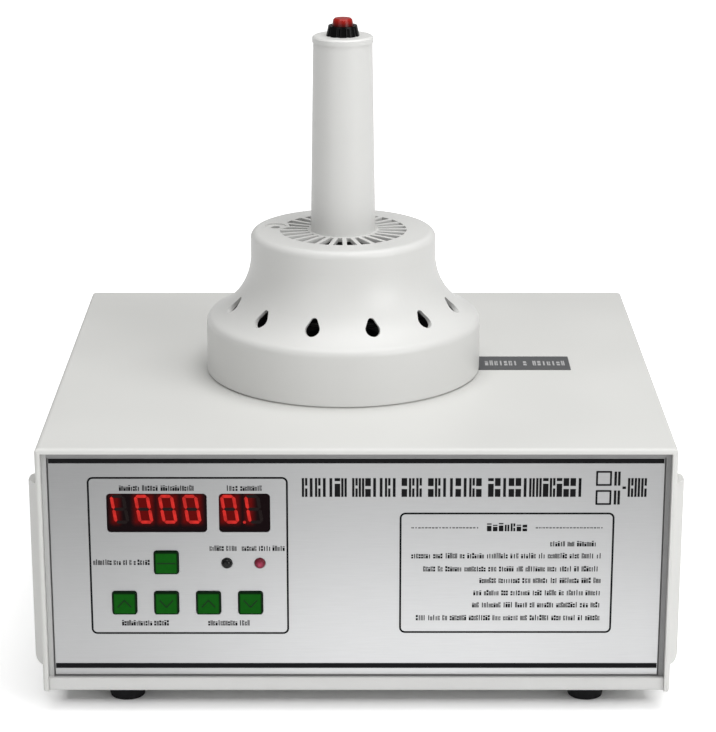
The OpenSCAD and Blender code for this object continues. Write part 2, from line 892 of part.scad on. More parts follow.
// Row of power transistors on the heat sink's base
module power_transistors() {
    body = transistor;
    pitch = sink_l / transistor_count;
    y0 = sink_at[1] - (sink_l - pitch) / 2 - body[1] / 2;
    color(black) for (i = [0:transistor_count - 1])
        translate([sink_at[0] - sink_w / 2 - body[0], y0 + i * pitch, z_inside + sink_h / 2]) difference() {
            cube(body);
            translate([-over, body[1] / 2, body[2] - transistor_hole]) rotate([0, 90, 0])
                cylinder(d = m3_hole, h = body[0] + 2 * over);
        }
}

// Output transformer: a closed pair of E cores
module transformer_core() {
    win = (core[0] - core_mid) / 2 - core_leg;
    color("#3a3a3d") on_board(core_at) difference() {
        translate([-core[0] / 2, -core[1] / 2, 0]) cube(core);
        for (s = [-1, 1]) translate([s * (core_mid + win) / 2, 0, core[2] / 2])
            cube([win, core[1] + 2 * over, core[2] - 2 * core_leg], center = true);
    }
}

// Copper winding round the core's middle leg
module transformer_winding() {
    win = (core[0] - core_mid) / 2 - core_leg;
    h = core[2] - 2 * core_leg - 2 * wind_gap;
    color("#b8703a") on_board(core_at) translate([0, 0, core_leg + wind_gap]) linear_extrude(h) difference() {
        rounded_rect(core_mid + 2 * win - 2 * wind_gap, core[1] + 2 * win, 4);
        square([core_mid + 2 * wind_gap, core[1] + 2 * wind_gap], center = true);
    }
}

// Smoothing capacitors: cans with a rolled groove
module filter_capacitors() {
    color("#2b2f55") for (i = [0, 1]) on_board(can_at + [i * can_pitch, 0]) rotate_extrude() difference() {
        square([can_d / 2, can_h]);
        translate([can_d / 2 + can_groove / 2, can_h - 3 * can_groove]) circle(can_groove);
    }
}

module resonant_capacitors() {
    color("#8a3b30") for (i = [0:2]) on_board(film_at + [0, i * film_pitch])
        linear_extrude(film_box[2]) rounded_rect(film_box[0], film_box[1], 2);
}

module rectifier_bridge() {
    color(black) on_board(bridge_at) difference() {
        translate([-bridge[0] / 2, -bridge[1] / 2, 0]) cube(bridge);
        translate([0, 0, -over]) cylinder(d = m4_hole, h = bridge[2] + 2 * over);
    }
}

// Ring choke with its turns showing as ribs
module choke() {
    color("#b8703a") on_board(choke_at) {
        translate([0, 0, choke_turn_r + choke_foot[2] / 2]) {
            rotate_extrude() translate([choke_r, 0]) circle(choke_core_r);
            for (i = [0:choke_turns - 1]) rotate(i * 360 / choke_turns) translate([choke_r, 0, 0])
                rotate([90, 0, 0]) cylinder(r = choke_turn_r, h = choke_wire, center = true);
        }
        translate([-choke_foot[0], -choke_foot[1], 0])
            cube([2 * choke_foot[0], 2 * choke_foot[1], choke_foot[2]]);
    }
}

// Rear pieces

// Fan frame: square duct, motor seat and four struts
module fan_frame() {
    color(black) on_rear(fan_at, y_wall - fan_d) {
        difference() {
            linear_extrude(fan_d) rounded_rect(fan_w, fan_w, 4);
            translate([0, 0, -over]) cylinder(d = fan_bore, h = fan_d + 2 * over, $fn = 128);
            corners(fan_pitch, fan_pitch) translate([0, 0, -over])
                cylinder(d = m4_hole, h = fan_d + 2 * over);
        }
        difference() {
            union() {
                cylinder(d = motor_d, h = motor_t);
                intersection() {
                    cylinder(d = fan_bore + over, h = motor_t);
                    for (a = [0:3]) rotate(a * 90 + 30) translate([0, -fan_strut_w / 2, 0])
                        cube([fan_bore, fan_strut_w, motor_t - 1]);
                }
            }
            translate([0, 0, -over]) cylinder(d = fan_shaft_d + 2 * shaft_gap, h = motor_t + 2 * over);
        }
    }
}

// Hub, shaft and pitched blades
module fan_rotor() {
    hub_z = motor_t + 0.6;
    hub_h = fan_d - motor_t - 2;
    tip_r = fan_bore / 2 - fan_tip_gap;
    blade_w = (hub_h - 1) / sin(blade_turn);
    color("#2a2a2c") on_rear(fan_at, y_wall - fan_d) {
        translate([0, 0, hub_z]) cylinder(d = fan_hub_d, h = hub_h);
        translate([0, 0, 0.5]) cylinder(d = fan_shaft_d, h = hub_z);
        intersection() {
            translate([0, 0, hub_z + 0.2]) cylinder(r = tip_r, h = hub_h - 0.4, $fn = 128);
            for (i = [0:blade_count - 1]) rotate(i * 360 / blade_count) translate([0, 0, hub_z + hub_h / 2])
                rotate([blade_turn, 0, 0]) translate([fan_hub_d / 2 - 2, -blade_w / 2, -blade_t / 2])
                    cube([tip_r, blade_w, blade_t]);
        }
    }
}

// Wire finger guard: rings on four spokes that end in screw eyes
module fan_guard() {
    w = guard_wire;
    color("#c9cbce") on_rear(fan_at, y_rear) {
        for (r = guard_rings) translate([0, 0, 1.4 * w])
            rotate_extrude($fn = 96) translate([r, 0]) circle(d = w);
        for (a = [0:3]) rotate(45 + a * 90) {
            translate([guard_rings[0] - w / 2, 0, w / 2]) rotate([0, 90, 0])
                cylinder(d = w, h = fan_pitch / sqrt(2) - ear_r - guard_rings[0] + w / 2);
            translate([fan_pitch / sqrt(2), 0, w / 2]) rotate_extrude() translate([ear_r, 0]) circle(d = w);
        }
    }
}

module fan_screws() {
    color(steel) on_rear(fan_at, y_rear + guard_wire) corners(fan_pitch, fan_pitch) rotate([180, 0, 0])
        pan_screw(m4_d, fan_screw_l, m4_head_d, m4_head_h);
}

// Outline of the mains socket: two corners are cut off
module mains_outline() {
    w = mains_mouth[0] / 2;
    h = mains_mouth[1] / 2;
    c = mains_chamfer;
    polygon([[-w, -h], [w, -h], [w, h - c], [w - c, h], [c - w, h], [-w, h - c]]);
}

module power_inlet() {
    color(black) on_rear(mains_at, y_rear) difference() {
        union() {
            linear_extrude(mains_flange[2]) rounded_rect(mains_flange[0], mains_flange[1], 3);
            translate([-mains_body[0] / 2, -mains_body[1] / 2, -mains_body[2]])
                cube([mains_body[0], mains_body[1], mains_body[2] + over]);
        }
        translate([0, 0, mains_flange[2] - mains_depth]) linear_extrude(mains_depth + over) mains_outline();
        for (at = pin_places) translate([at[0], at[1], -mains_body[2] - over]) linear_extrude(mains_body[2])
            square([pin_w + 2 * hole_gap, pin_h + 2 * hole_gap], center = true);
        for (sx = [-1, 1]) translate([sx * mains_screw_pitch / 2, 0, -over]) {
            cylinder(d = m3_hole, h = mains_flange[2] + 2 * over);
            translate([0, 0, over + mains_flange[2] - screw_sink_h])
                cylinder(d1 = m3_hole, d2 = screw_sink_d, h = screw_sink_h + eps);
        }
    }
}

// Flat blades in the mains socket with their solder tails
module inlet_pins() {
    z0 = -mains_body[2] - pin_tail;
    z1 = mains_flange[2] - pin_tip;
    color(steel) on_rear(mains_at, y_rear) for (at = pin_places) translate([at[0], at[1], z0])
        linear_extrude(z1 - z0) square([pin_w, pin_h], center = true);
}

// Countersunk screw with the top of its head at the origin, its shank along -Z
module sunk_screw(len) {
    difference() {
        union() {
            translate([0, 0, -screw_sink_h])
                cylinder(d1 = m3_d, d2 = screw_sink_d - 2 * hole_gap, h = screw_sink_h);
            translate([0, 0, -len]) cylinder(d = m3_d, h = len - screw_sink_h + eps);
        }
        for (a = [0, 90]) rotate(a) translate([-1.6, -0.4, -0.8]) cube([3.2, 0.8, over]);
    }
}

module inlet_screws() {
    color(steel) on_rear(mains_at, y_rear + mains_flange[2])
        for (sx = [-1, 1]) translate([sx * mains_screw_pitch / 2, 0, 0]) sunk_screw(inlet_screw_l);
}

// Snap-in housing with bearing holes for the rocker's trunnions
module rocker_housing() {
    color(black) on_rear(rocker_at, y_rear) difference() {
        union() {
            linear_extrude(rocker_flange[2]) rounded_rect(rocker_flange[0], rocker_flange[1], 1.5);
            translate([-rocker_body[0] / 2, -rocker_body[1] / 2, -rocker_body[2]])
                cube([rocker_body[0], rocker_body[1], rocker_body[2] + over]);
        }
        translate([-rocker_cell[0] / 2, -rocker_cell[1] / 2, -rocker_cell[2]])
            cube([rocker_cell[0], rocker_cell[1], rocker_cell[2] + 2 * rocker_flange[2]]);
        translate([-rocker_cell[0] / 2 - trunnion_l - hole_gap, 0, rocker_pivot]) rotate([0, 90, 0])
            cylinder(r = trunnion_r + shaft_gap, h = rocker_cell[0] + 2 * trunnion_l + 2 * hole_gap);
    }
}

// Rocker: a shallow V on two trunnions, resting on one end
module rocker() {
    color(black) on_rear(rocker_at, y_rear) translate([0, 0, rocker_pivot]) rotate([-rocker_turn / 2, 0, 0]) {
        rotate([90, 0, 90]) linear_extrude(rocker_w, center = true)
            polygon([[-rocker_half, rocker_rise], [-rocker_foot, -rocker_sink], [rocker_foot, -rocker_sink],
                     [rocker_half, rocker_rise], [0, rocker_dip]]);
        translate([-rocker_cell[0] / 2 - trunnion_l, 0, 0]) rotate([0, 90, 0])
            cylinder(r = trunnion_r, h = rocker_cell[0] + 2 * trunnion_l);
    }
}

module fuse_holder() {
    color(black) on_rear(fuse_at, y_rear) {
        translate([0, 0, -fuse_l]) cylinder(d = fuse_d, h = fuse_l);
        cylinder(d = fuse_cap_d + 2 * fuse_rim, h = fuse_rim_h);
        translate([0, 0, -sheet_t - fuse_nut_h]) cylinder(d = fuse_nut_d, h = fuse_nut_h, $fn = 6);
    }
}

// Screw cap of the fuse holder with a coin slot
module fuse_cap() {
    color(black) on_rear(fuse_at, y_rear + fuse_rim_h) difference() {
        cylinder(d1 = fuse_cap_d, d2 = fuse_cap_d - fuse_slot, h = fuse_cap_h);
        translate([-fuse_cap_d, -fuse_slot / 2, fuse_cap_h - fuse_slot])
            cube([2 * fuse_cap_d, fuse_slot, fuse_slot + over]);
        for (i = [0:fuse_grips - 1]) rotate((i + 0.5) * 360 / fuse_grips)
            translate([fuse_cap_d / 2, 0, fuse_rim_h]) cylinder(d = fuse_slot, h = fuse_cap_h);
    }
}

// Gland of the head cable: hexagon, domed nut and thread
module cable_gland() {
    color(black) on_rear(gland_at, y_rear) difference() {
        union() {
            cylinder(d = gland_hex / cos(30), h = gland_hex_h, $fn = 6);
            translate([0, 0, gland_hex_h - eps])
                cylinder(d = gland_hex - 1, h = gland_out - gland_hex_h - gland_cone);
            translate([0, 0, gland_out - gland_cone - eps])
                cylinder(d1 = gland_hex - 1, d2 = gland_bore + gland_cone, h = gland_cone + eps);
            translate([0, 0, -sheet_t - gland_thread_l])
                cylinder(d = gland_thread_d, h = sheet_t + gland_thread_l + eps);
        }
        translate([0, 0, -sheet_t - gland_thread_l - over])
            cylinder(d = gland_bore, h = gland_out + sheet_t + gland_thread_l + 2 * over);
    }
}

module gland_nut() {
    color(black) on_rear(gland_at, y_wall - gland_nut_h) difference() {
        cylinder(d = gland_hex / cos(30), h = gland_nut_h, $fn = 6);
        translate([0, 0, -over]) cylinder(d = gland_thread_d + 2 * hole_gap, h = gland_nut_h + 2 * over);
    }
}

// Sealing head

// Half outline of the bell above the lid, drawn in by an inset
module bell_outline(inset) {
    r_top = max(top_r - inset, 0.3);
    difference() {
        union() {
            polygon([[0, 0], [bell_r - inset, 0], [bell_r - inset, skirt_h], shoulder_c, blend_at,
                     [neck_r - inset, flare_c[1]], [neck_r - inset, bell_h - inset - r_top],
                     [neck_r - inset - r_top, bell_h - inset], [0, bell_h - inset]]);
            translate(shoulder_c) circle(shoulder_r - inset);
            translate([neck_r - inset - r_top, bell_h - inset - r_top]) circle(r_top);
        }
        translate(flare_c) circle(flare_r + inset, $fn = 128);
    }
}

// Drop outline: a round end, a narrow end and flanks that cross both circles a hair inside their rims
module drop_outline() {
    r = vent_w / 2;
    reach = vent_l - r - vent_tip_r;
    lean = asin((r - vent_tip_r) / reach);
    translate([0, (vent_tip_r - r) / 2 - reach / 2 + r / 2]) {
        circle(r);
        translate([0, reach]) circle(vent_tip_r);
        polygon([for (s = [-1, 1], k = [0, 1]) let (e = (s < 0) == (k == 0) ? [r, 0] : [vent_tip_r, reach])
            [s * e[0] * flank_in * cos(lean), e[1] + e[0] * flank_in * sin(lean)]]);
    }
}

// Vents round the flare, narrow ends upwards
module vents() {
    depth = 8 * bell_t;
    for (i = [0:vent_count - 1]) rotate((i + 0.5) * 360 / vent_count)
        translate([vent_at, 0, vent_z]) rotate([0, vent_tilt, 0]) rotate(90)
            linear_extrude(depth, center = true) drop_outline();
}

// Ring of slots in the bell's top, left open between thin ribs
module top_slots() {
    translate([0, 0, bell_h - 2 * bell_t]) linear_extrude(3 * bell_t) difference() {
        circle(slot_out, $fn = 128);
        circle(slot_in, $fn = 96);
        for (i = [0:slot_count - 1]) rotate(slot_turn + (i + 0.5) * 360 / slot_count)
            translate([0, -rib_w / 2]) square([2 * slot_out, rib_w]);
        rotate(inlet_turn) translate([inlet_at, 0]) circle(d = inlet_d + 2 * inlet_rim);
    }
}

// Copies at the screw bosses of the base
module at_bosses() {
    for (i = [0:3]) rotate(i * 90) translate([boss_at, 0, 0]) children();
}

// Copies at the screws that hold the handle
module at_grip_screws() {
    for (i = [0:grip_screw_count - 1]) rotate(i * 360 / grip_screw_count)
        translate([grip_screw_at, 0, 0]) children();
}

module head_shell() {
    color(white_plastic) on_head() difference() {
        union() {
            difference() {
                rotate_extrude($fn = 128) difference() {
                    bell_outline(0);
                    translate([-over, -over]) square([2 * bell_r, over + base_lip]);
                }
                rotate_extrude($fn = 128) bell_outline(bell_t);
            }
            at_bosses() translate([0, 0, base_t]) cylinder(d = boss_d, h = boss_h);
        }
        at_bosses() translate([0, 0, base_t - over]) cylinder(d = m3_hole, h = boss_h - 2 + over);
        vents();
        top_slots();
        translate([0, 0, bell_h - 2 * bell_t]) {
            cylinder(d = wire_hole_d, h = 3 * bell_t);
            at_grip_screws() cylinder(d = m3_hole, h = 3 * bell_t);
            rotate(inlet_turn) translate([inlet_at, 0, 0]) cylinder(d = inlet_bore, h = 3 * bell_t);
        }
        rotate(inlet_turn) translate([inlet_at, 0, bell_h - inlet_deep])
            cylinder(d = inlet_d, h = inlet_deep + over);
    }
}

// Sealing face: a flat plate that plugs the skirt
module head_base() {
    color("#d8d2c4") on_head() difference() {
        union() {
            cylinder(r = base_r, h = base_lip, $fn = 128);
            cylinder(r = plug_r, h = base_t, $fn = 128);
        }
        at_bosses() {
            translate([0, 0, -over]) cylinder(d = m3_hole, h = base_t + 2 * over);
            translate([0, 0, -eps]) cylinder(d1 = screw_sink_d, d2 = m3_hole, h = screw_sink_h);
        }
    }
}

module base_screws() {
    color(steel) on_head() at_bosses() rotate([180, 0, 0]) sunk_screw(base_t + boss_h - 5);
}

// Spool for the flat coil: a floor, a hub and an outer wall
module coil_former() {
    color("#c9b58a") on_head() translate([0, 0, base_t]) rotate_extrude($fn = 96) {
        translate([6, 0]) square([former_r - 6, former_web]);
        translate([6, 0]) square([former_hub - 6, former_t]);
        translate([former_r - 2, 0]) square([2, former_t]);
    }
}

// Flat winding of round strands lying side by side
module coil() {
    color("#b8703a") on_head() translate([0, 0, base_t + former_web]) rotate_extrude($fn = 96)
        for (i = [0:coil_turns - 1]) translate([coil_in + i * coil_pitch, coil_wire / 2])
            circle(d = coil_wire);
}

// Ferrite bars that close the field above the coil
module ferrite_bars() {
    color("#3a3a3d") on_head() for (i = [0:bar_count - 1]) rotate(i * 360 / bar_count + 30)
        translate([bar_in, -bar_w / 2, base_t + former_web + coil_wire]) cube([bar_l, bar_w, bar_t]);
}

// Baffle under the slots: a disc hung from the bell's top by a short collar
module slot_baffle() {
    color(black) on_head() translate([0, 0, bell_h - bell_t - baffle_drop]) rotate_extrude($fn = 96) {
        translate([baffle_in, 0]) square([slot_out + baffle_over - baffle_in, baffle_t]);
        translate([baffle_in, 0]) square([baffle_t, baffle_drop]);
    }
}

// Tapered tube with a floor that is screwed to the bell
module handle() {
    tall = grip_top - bell_h;
    color(white_plastic) on_head() translate([0, 0, bell_h]) difference() {
        cylinder(r1 = grip_r, r2 = grip_top_r, h = tall);
        translate([0, 0, grip_floor])
            cylinder(r1 = grip_r - grip_t, r2 = grip_top_r - grip_t, h = tall - grip_floor + eps);
        translate([0, 0, -over]) cylinder(d = wire_hole_d, h = grip_floor + 2 * over);
        at_grip_screws() translate([0, 0, -over]) cylinder(d = m3_hole, h = grip_floor - 1 + over);
    }
}

module handle_screws() {
    color(steel) on_head() translate([0, 0, bell_h - bell_t]) at_grip_screws()
        pan_screw(m3_d, bell_t + grip_floor - 1.5, m3_head_d - 0.6, m3_head_h);
}

// End cap of the handle with the switch's hole
module handle_cap() {
    color(white_plastic) on_head() translate([0, 0, grip_top]) difference() {
        union() {
            translate([0, 0, cap_t - cap_edge]) cylinder(r1 = cap_r, r2 = cap_r - cap_edge, h = cap_edge);
            cylinder(r = cap_r, h = cap_t - cap_edge + eps);
            translate([0, 0, -cap_plug_h]) cylinder(r = grip_top_r - grip_t - plug_gap, h = cap_plug_h + eps);
        }
        translate([0, 0, -cap_plug_h - over])
            cylinder(d = bush_d + 2 * bush_gap, h = cap_plug_h + cap_t + 2 * over);
    }
}

// Ribbed dress nut round the button
module button_collar() {
    lean = atan2((collar_d - collar_top_d) / 2, collar_h);
    color(black) on_head() translate([0, 0, z_cap_top - z_lid]) difference() {
        cylinder(d1 = collar_d, d2 = collar_top_d, h = collar_h);
        translate([0, 0, -over]) cylinder(d = button_d + 2 * button_gap, h = collar_h + 2 * over);
        translate([0, 0, -over]) cylinder(d = bush_d + 2 * bush_gap, h = bush_up + over);
        for (i = [0:collar_grips - 1]) rotate(i * 360 / collar_grips)
            translate([collar_d / 2 + collar_groove_out, 0, -over]) rotate([0, -lean, 0])
                cylinder(d = collar_groove_d, h = over + collar_h - collar_edge);
    }
}

// Push switch: a body under the cap and a bush through it
module switch_body() {
    floor_z = switch_floor - z_lid;
    color(black) on_head() difference() {
        union() {
            translate([0, 0, grip_top - cap_plug_h - switch_l]) cylinder(d = switch_d, h = switch_l);
            translate([0, 0, grip_top - cap_plug_h - eps])
                cylinder(d = bush_d, h = cap_plug_h + cap_t + bush_up + eps);
        }
        translate([0, 0, floor_z])
            cylinder(d = stem_d + 2 * button_gap, h = grip_top + cap_t + bush_up - floor_z + over);
    }
}

// Red button: a tapered, chamfered cap on a stem
module trigger_button() {
    foot = button_foot - z_lid;
    mouth = z_cap_top + collar_h - z_lid;
    edge = mouth + button_out - button_chamfer;
    color("#c8202a") on_head() {
        translate([0, 0, foot]) cylinder(d = button_d, h = mouth - foot + eps);
        translate([0, 0, mouth]) cylinder(d1 = button_d, d2 = button_top_d, h = edge - mouth);
        translate([0, 0, edge - eps])
            cylinder(d1 = button_top_d, d2 = button_top_d - 2 * button_chamfer, h = button_chamfer + eps);
        translate([0, 0, z_cap_top - stem_down - z_lid])
            cylinder(d = stem_d, h = button_foot - z_cap_top + stem_down + eps);
    }
}

base_tray();
cover();
front_frame();
front_panel();
counter_display();
timer_display();
display_board();
zero_key();
power_up_key();
power_down_key();
time_up_key();
time_down_key();
key_switches();
work_lamp();
power_lamp();
board_standoffs();
board_screws();
main_board();
main_standoffs();
main_screws();
heat_sink();
power_transistors();
transformer_core();
transformer_winding();
filter_capacitors();
resonant_capacitors();
rectifier_bridge();
choke();
fan_frame();
fan_rotor();
fan_guard();
fan_screws();
power_inlet();
inlet_pins();
inlet_screws();
rocker_housing();
rocker();
fuse_holder();
fuse_cap();
cable_gland();
gland_nut();
feet();
foot_screws();
foot_nuts();
cover_screws();
lid_label();
head_shell();
head_base();
coil();
coil_former();
ferrite_bars();
slot_baffle();
base_screws();
handle();
handle_cap();
handle_screws();
button_collar();
switch_body();
trigger_button();
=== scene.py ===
"""Looks of the induction cap sealer: finishes, panel print, displays, key signs, camera and studio."""
import json
import math

import bmesh
import bpy
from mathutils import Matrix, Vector


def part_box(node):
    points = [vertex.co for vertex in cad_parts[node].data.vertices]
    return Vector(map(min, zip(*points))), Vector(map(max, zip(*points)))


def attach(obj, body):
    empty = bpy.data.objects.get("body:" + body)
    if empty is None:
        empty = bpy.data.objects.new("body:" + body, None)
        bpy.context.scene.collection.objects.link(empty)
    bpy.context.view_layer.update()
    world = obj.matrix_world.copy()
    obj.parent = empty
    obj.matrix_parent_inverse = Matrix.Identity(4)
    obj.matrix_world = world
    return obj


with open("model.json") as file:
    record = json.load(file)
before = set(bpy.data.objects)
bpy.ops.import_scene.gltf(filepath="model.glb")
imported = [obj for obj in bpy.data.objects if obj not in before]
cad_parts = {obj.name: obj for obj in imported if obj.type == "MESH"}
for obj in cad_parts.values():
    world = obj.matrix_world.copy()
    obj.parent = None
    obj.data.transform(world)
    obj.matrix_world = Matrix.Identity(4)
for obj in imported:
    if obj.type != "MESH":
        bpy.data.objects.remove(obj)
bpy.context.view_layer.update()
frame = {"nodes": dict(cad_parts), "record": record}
nodes = frame["nodes"]

MM = 0.001

# Faces that the print and the signs lie on
PANEL_LOW, PANEL_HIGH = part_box("front_panel")
PANEL_FACE = PANEL_LOW.y
WINDOW_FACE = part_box("counter_display")[0].y
STRIP_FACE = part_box("cover")[0].y + 4.0 * MM
CASE_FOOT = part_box("cover")[0].z
KEYS = ("zero_key", "power_up_key", "power_down_key", "time_up_key", "time_down_key")
KEY_FIELD = 4.5
LABEL_LOW, LABEL_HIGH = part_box("lid_label")
INK_RAISE = 0.03 * MM
INK_DEPTH = 0.05 * MM


# Node helpers

def put(tree, kind, inputs=None, **settings):
    """Adds a node with its settings and inputs; an input is a value or the socket that feeds it."""
    node = tree.nodes.new(kind)
    for name, value in settings.items():
        setattr(node, name, value)
    for key, value in (inputs or {}).items():
        socket = node.inputs[key]
        if isinstance(value, bpy.types.NodeSocket):
            tree.links.new(value, socket)
        else:
            socket.default_value = value
    return node


def math_node(tree, operation, first, second=0.0, clamp=False):
    """Output of one math node."""
    node = put(tree, "ShaderNodeMath", {0: first, 1: second}, operation=operation, use_clamp=clamp)
    return node.outputs[0]


def vector_node(tree, operation, first, second=(0.0, 0.0, 0.0)):
    """Vector output of one vector math node."""
    return put(tree, "ShaderNodeVectorMath", {0: first, 1: second}, operation=operation).outputs[0]


def mix_colors(tree, share, first, second):
    """Colour between first, at share 0, and second, at share 1."""
    node = put(tree, "ShaderNodeMix", {0: share, 6: first, 7: second}, data_type="RGBA")
    return node.outputs[2]


def ramp(tree, value, low, high, to_low=0.0, to_high=1.0):
    """Value taken softly from the span low to high onto the span to_low to to_high, held at its ends."""
    spans = {"Value": value, 1: low, 2: high, 3: to_low, 4: to_high}
    return put(tree, "ShaderNodeMapRange", spans, interpolation_type="SMOOTHSTEP").outputs[0]


def object_place(tree):
    """Object coordinates, in metres."""
    return put(tree, "ShaderNodeTexCoord").outputs["Object"]


def noise(tree, place, scale, detail=2.0, roughness=0.5):
    """Noise value between 0 and 1, with so many waves in a metre."""
    inputs = {"Vector": place, "Scale": scale, "Detail": detail, "Roughness": roughness}
    return put(tree, "ShaderNodeTexNoise", inputs).outputs[0]


def rgba(color):
    """Colour with its alpha."""
    return (*color, 1.0)


def group(name, inputs, outputs):
    """Empty shader group with its sockets; returns the tree, its input node and its output node."""
    tree = bpy.data.node_groups.new(name, "ShaderNodeTree")
    for label, kind in inputs:
        tree.interface.new_socket(label, in_out="INPUT", socket_type="NodeSocket" + kind)
    for label, kind in outputs:
        tree.interface.new_socket(label, in_out="OUTPUT", socket_type="NodeSocket" + kind)
    return tree, tree.nodes.new("NodeGroupInput"), tree.nodes.new("NodeGroupOutput")


# Shared effects

def make_skin_group():
    """Moulded or painted skin: soft blotches of tone and gloss, and a fine peel."""
    inputs = [("Color", "Color"), ("Tone", "Float"), ("Blotch Scale", "Float"), ("Peel Scale", "Float"),
              ("Gloss Low", "Float"), ("Gloss High", "Float")]
    outputs = [("Color", "Color"), ("Roughness", "Float"), ("Height", "Float")]
    tree, given, result = group("skin", inputs, outputs)
    place = object_place(tree)
    blotch = noise(tree, place, given.outputs["Blotch Scale"], 1.0)
    share = ramp(tree, blotch, 0.2, 0.8)
    dimmed = math_node(tree, "SUBTRACT", 1.0, given.outputs["Tone"])
    darker = vector_node(tree, "SCALE", given.outputs["Color"])
    tree.links.new(dimmed, darker.node.inputs["Scale"])
    tree.links.new(mix_colors(tree, share, darker, given.outputs["Color"]), result.inputs["Color"])
    gloss = ramp(tree, blotch, 0.2, 0.8, given.outputs["Gloss Low"], given.outputs["Gloss High"])
    tree.links.new(gloss, result.inputs["Roughness"])
    tree.links.new(noise(tree, place, given.outputs["Peel Scale"], 1.0), result.inputs["Height"])
    return tree


def make_brushed_group():
    """Fine parallel lines, as on rolled or brushed metal, with softer bands of tone."""
    inputs = [("Color", "Color"), ("Tone", "Float"), ("Stretch", "Vector"), ("Gloss Low", "Float"),
              ("Gloss High", "Float")]
    outputs = [("Color", "Color"), ("Roughness", "Float"), ("Height", "Float")]
    tree, given, result = group("brushed", inputs, outputs)
    place = vector_node(tree, "MULTIPLY", object_place(tree), given.outputs["Stretch"])
    lines = noise(tree, place, 1.0, 3.0, 0.7)
    share = ramp(tree, lines, 0.25, 0.75)
    dimmed = math_node(tree, "SUBTRACT", 1.0, given.outputs["Tone"])
    darker = vector_node(tree, "SCALE", given.outputs["Color"])
    tree.links.new(dimmed, darker.node.inputs["Scale"])
    tree.links.new(mix_colors(tree, share, darker, given.outputs["Color"]), result.inputs["Color"])
    gloss = ramp(tree, lines, 0.25, 0.75, given.outputs["Gloss Low"], given.outputs["Gloss High"])
    tree.links.new(gloss, result.inputs["Roughness"])
    tree.links.new(lines, result.inputs["Height"])
    return tree


def make_glow_group():
    """Mask that is 1 inside an upright box and fades to 0 over its reach."""
    inputs = [("Centre", "Vector"), ("Half Size", "Vector"), ("Reach", "Float")]
    tree, given, result = group("glow", inputs, [("Mask", "Float")])
    away = vector_node(tree, "SUBTRACT", object_place(tree), given.outputs["Centre"])
    outside = vector_node(tree, "SUBTRACT", vector_node(tree, "ABSOLUTE", away), given.outputs["Half Size"])
    past = vector_node(tree, "MAXIMUM", outside, (0.0, 0.0, 0.0))
    far = put(tree, "ShaderNodeVectorMath", {0: past}, operation="LENGTH").outputs["Value"]
    fade = math_node(tree, "DIVIDE", far, given.outputs["Reach"])
    left = math_node(tree, "SUBTRACT", 1.0, fade, clamp=True)
    tree.links.new(math_node(tree, "POWER", left, 2.0), result.inputs["Mask"])
    return tree


SKIN = make_skin_group()
BRUSHED = make_brushed_group()
GLOW = make_glow_group()


# Materials

def new_material(name, **plain):
    """Material with a Principled shader; plain holds values that are the same all over."""
    material = bpy.data.materials.new(name)
    material.use_nodes = True
    shader = material.node_tree.nodes["Principled BSDF"]
    for label, value in plain.items():
        shader.inputs[label.replace("_", " ")].default_value = value
    return material, material.node_tree, shader


def bump(tree, shader, height, distance, strength):
    """Relief of the given depth on the shader's normal."""
    inputs = {"Height": height, "Distance": distance, "Strength": strength}
    node = put(tree, "ShaderNodeBump", inputs)
    tree.links.new(node.outputs[0], shader.inputs["Normal"])


def skin_material(name, color, gloss, tone=0.04, blotch=14.0, peel=900.0, relief=0.02 * MM, strength=0.25,
                  **plain):
    """Painted, moulded or rubber surface."""
    material, tree, shader = new_material(name, **plain)
    skin = put(tree, "ShaderNodeGroup", node_tree=SKIN)
    values = {"Color": rgba(color), "Tone": tone, "Blotch Scale": blotch, "Peel Scale": peel,
              "Gloss Low": gloss[0], "Gloss High": gloss[1]}
    for label, value in values.items():
        skin.inputs[label].default_value = value
    tree.links.new(skin.outputs["Color"], shader.inputs["Base Color"])
    tree.links.new(skin.outputs["Roughness"], shader.inputs["Roughness"])
    bump(tree, shader, skin.outputs["Height"], relief, strength)
    return material


def brushed_material(name, color, gloss, stretch, tone=0.08, relief=0.01 * MM, strength=0.2, **plain):
    """Metal or metallic film with fine parallel lines."""
    material, tree, shader = new_material(name, **plain)
    lines = put(tree, "ShaderNodeGroup", node_tree=BRUSHED)
    values = {"Color": rgba(color), "Tone": tone, "Stretch": stretch, "Gloss Low": gloss[0],
              "Gloss High": gloss[1]}
    for label, value in values.items():
        lines.inputs[label].default_value = value
    tree.links.new(lines.outputs["Color"], shader.inputs["Base Color"])
    tree.links.new(lines.outputs["Roughness"], shader.inputs["Roughness"])
    bump(tree, shader, lines.outputs["Height"], relief, strength)
    return material


def glow_mask(tree, boxes, reach):
    """Brightest of the glows of several boxes, each a centre and a half size."""
    brightest = None
    for centre, half in boxes:
        glow = put(tree, "ShaderNodeGroup", node_tree=GLOW)
        glow.inputs["Centre"].default_value = centre
        glow.inputs["Half Size"].default_value = half
        glow.inputs["Reach"].default_value = reach
        mask = glow.outputs["Mask"]
        brightest = mask if brightest is None else math_node(tree, "MAXIMUM", brightest, mask)
    return brightest


def window_material(name, boxes):
    """Dark red filter window with a dim glow round the lit figures."""
    material, tree, shader = new_material(name, Roughness=0.3, Emission_Strength=1.0, Specular_IOR_Level=0.04)
    mask = glow_mask(tree, boxes, 3.2 * MM)
    body = mix_colors(tree, mask, rgba((0.003, 0.002, 0.0025)), rgba((0.03, 0.001, 0.001)))
    tree.links.new(body, shader.inputs["Base Color"])
    light = mix_colors(tree, mask, rgba((0.003, 0.0, 0.0003)), rgba((0.085, 0.0007, 0.0005)))
    tree.links.new(light, shader.inputs["Emission Color"])
    return material


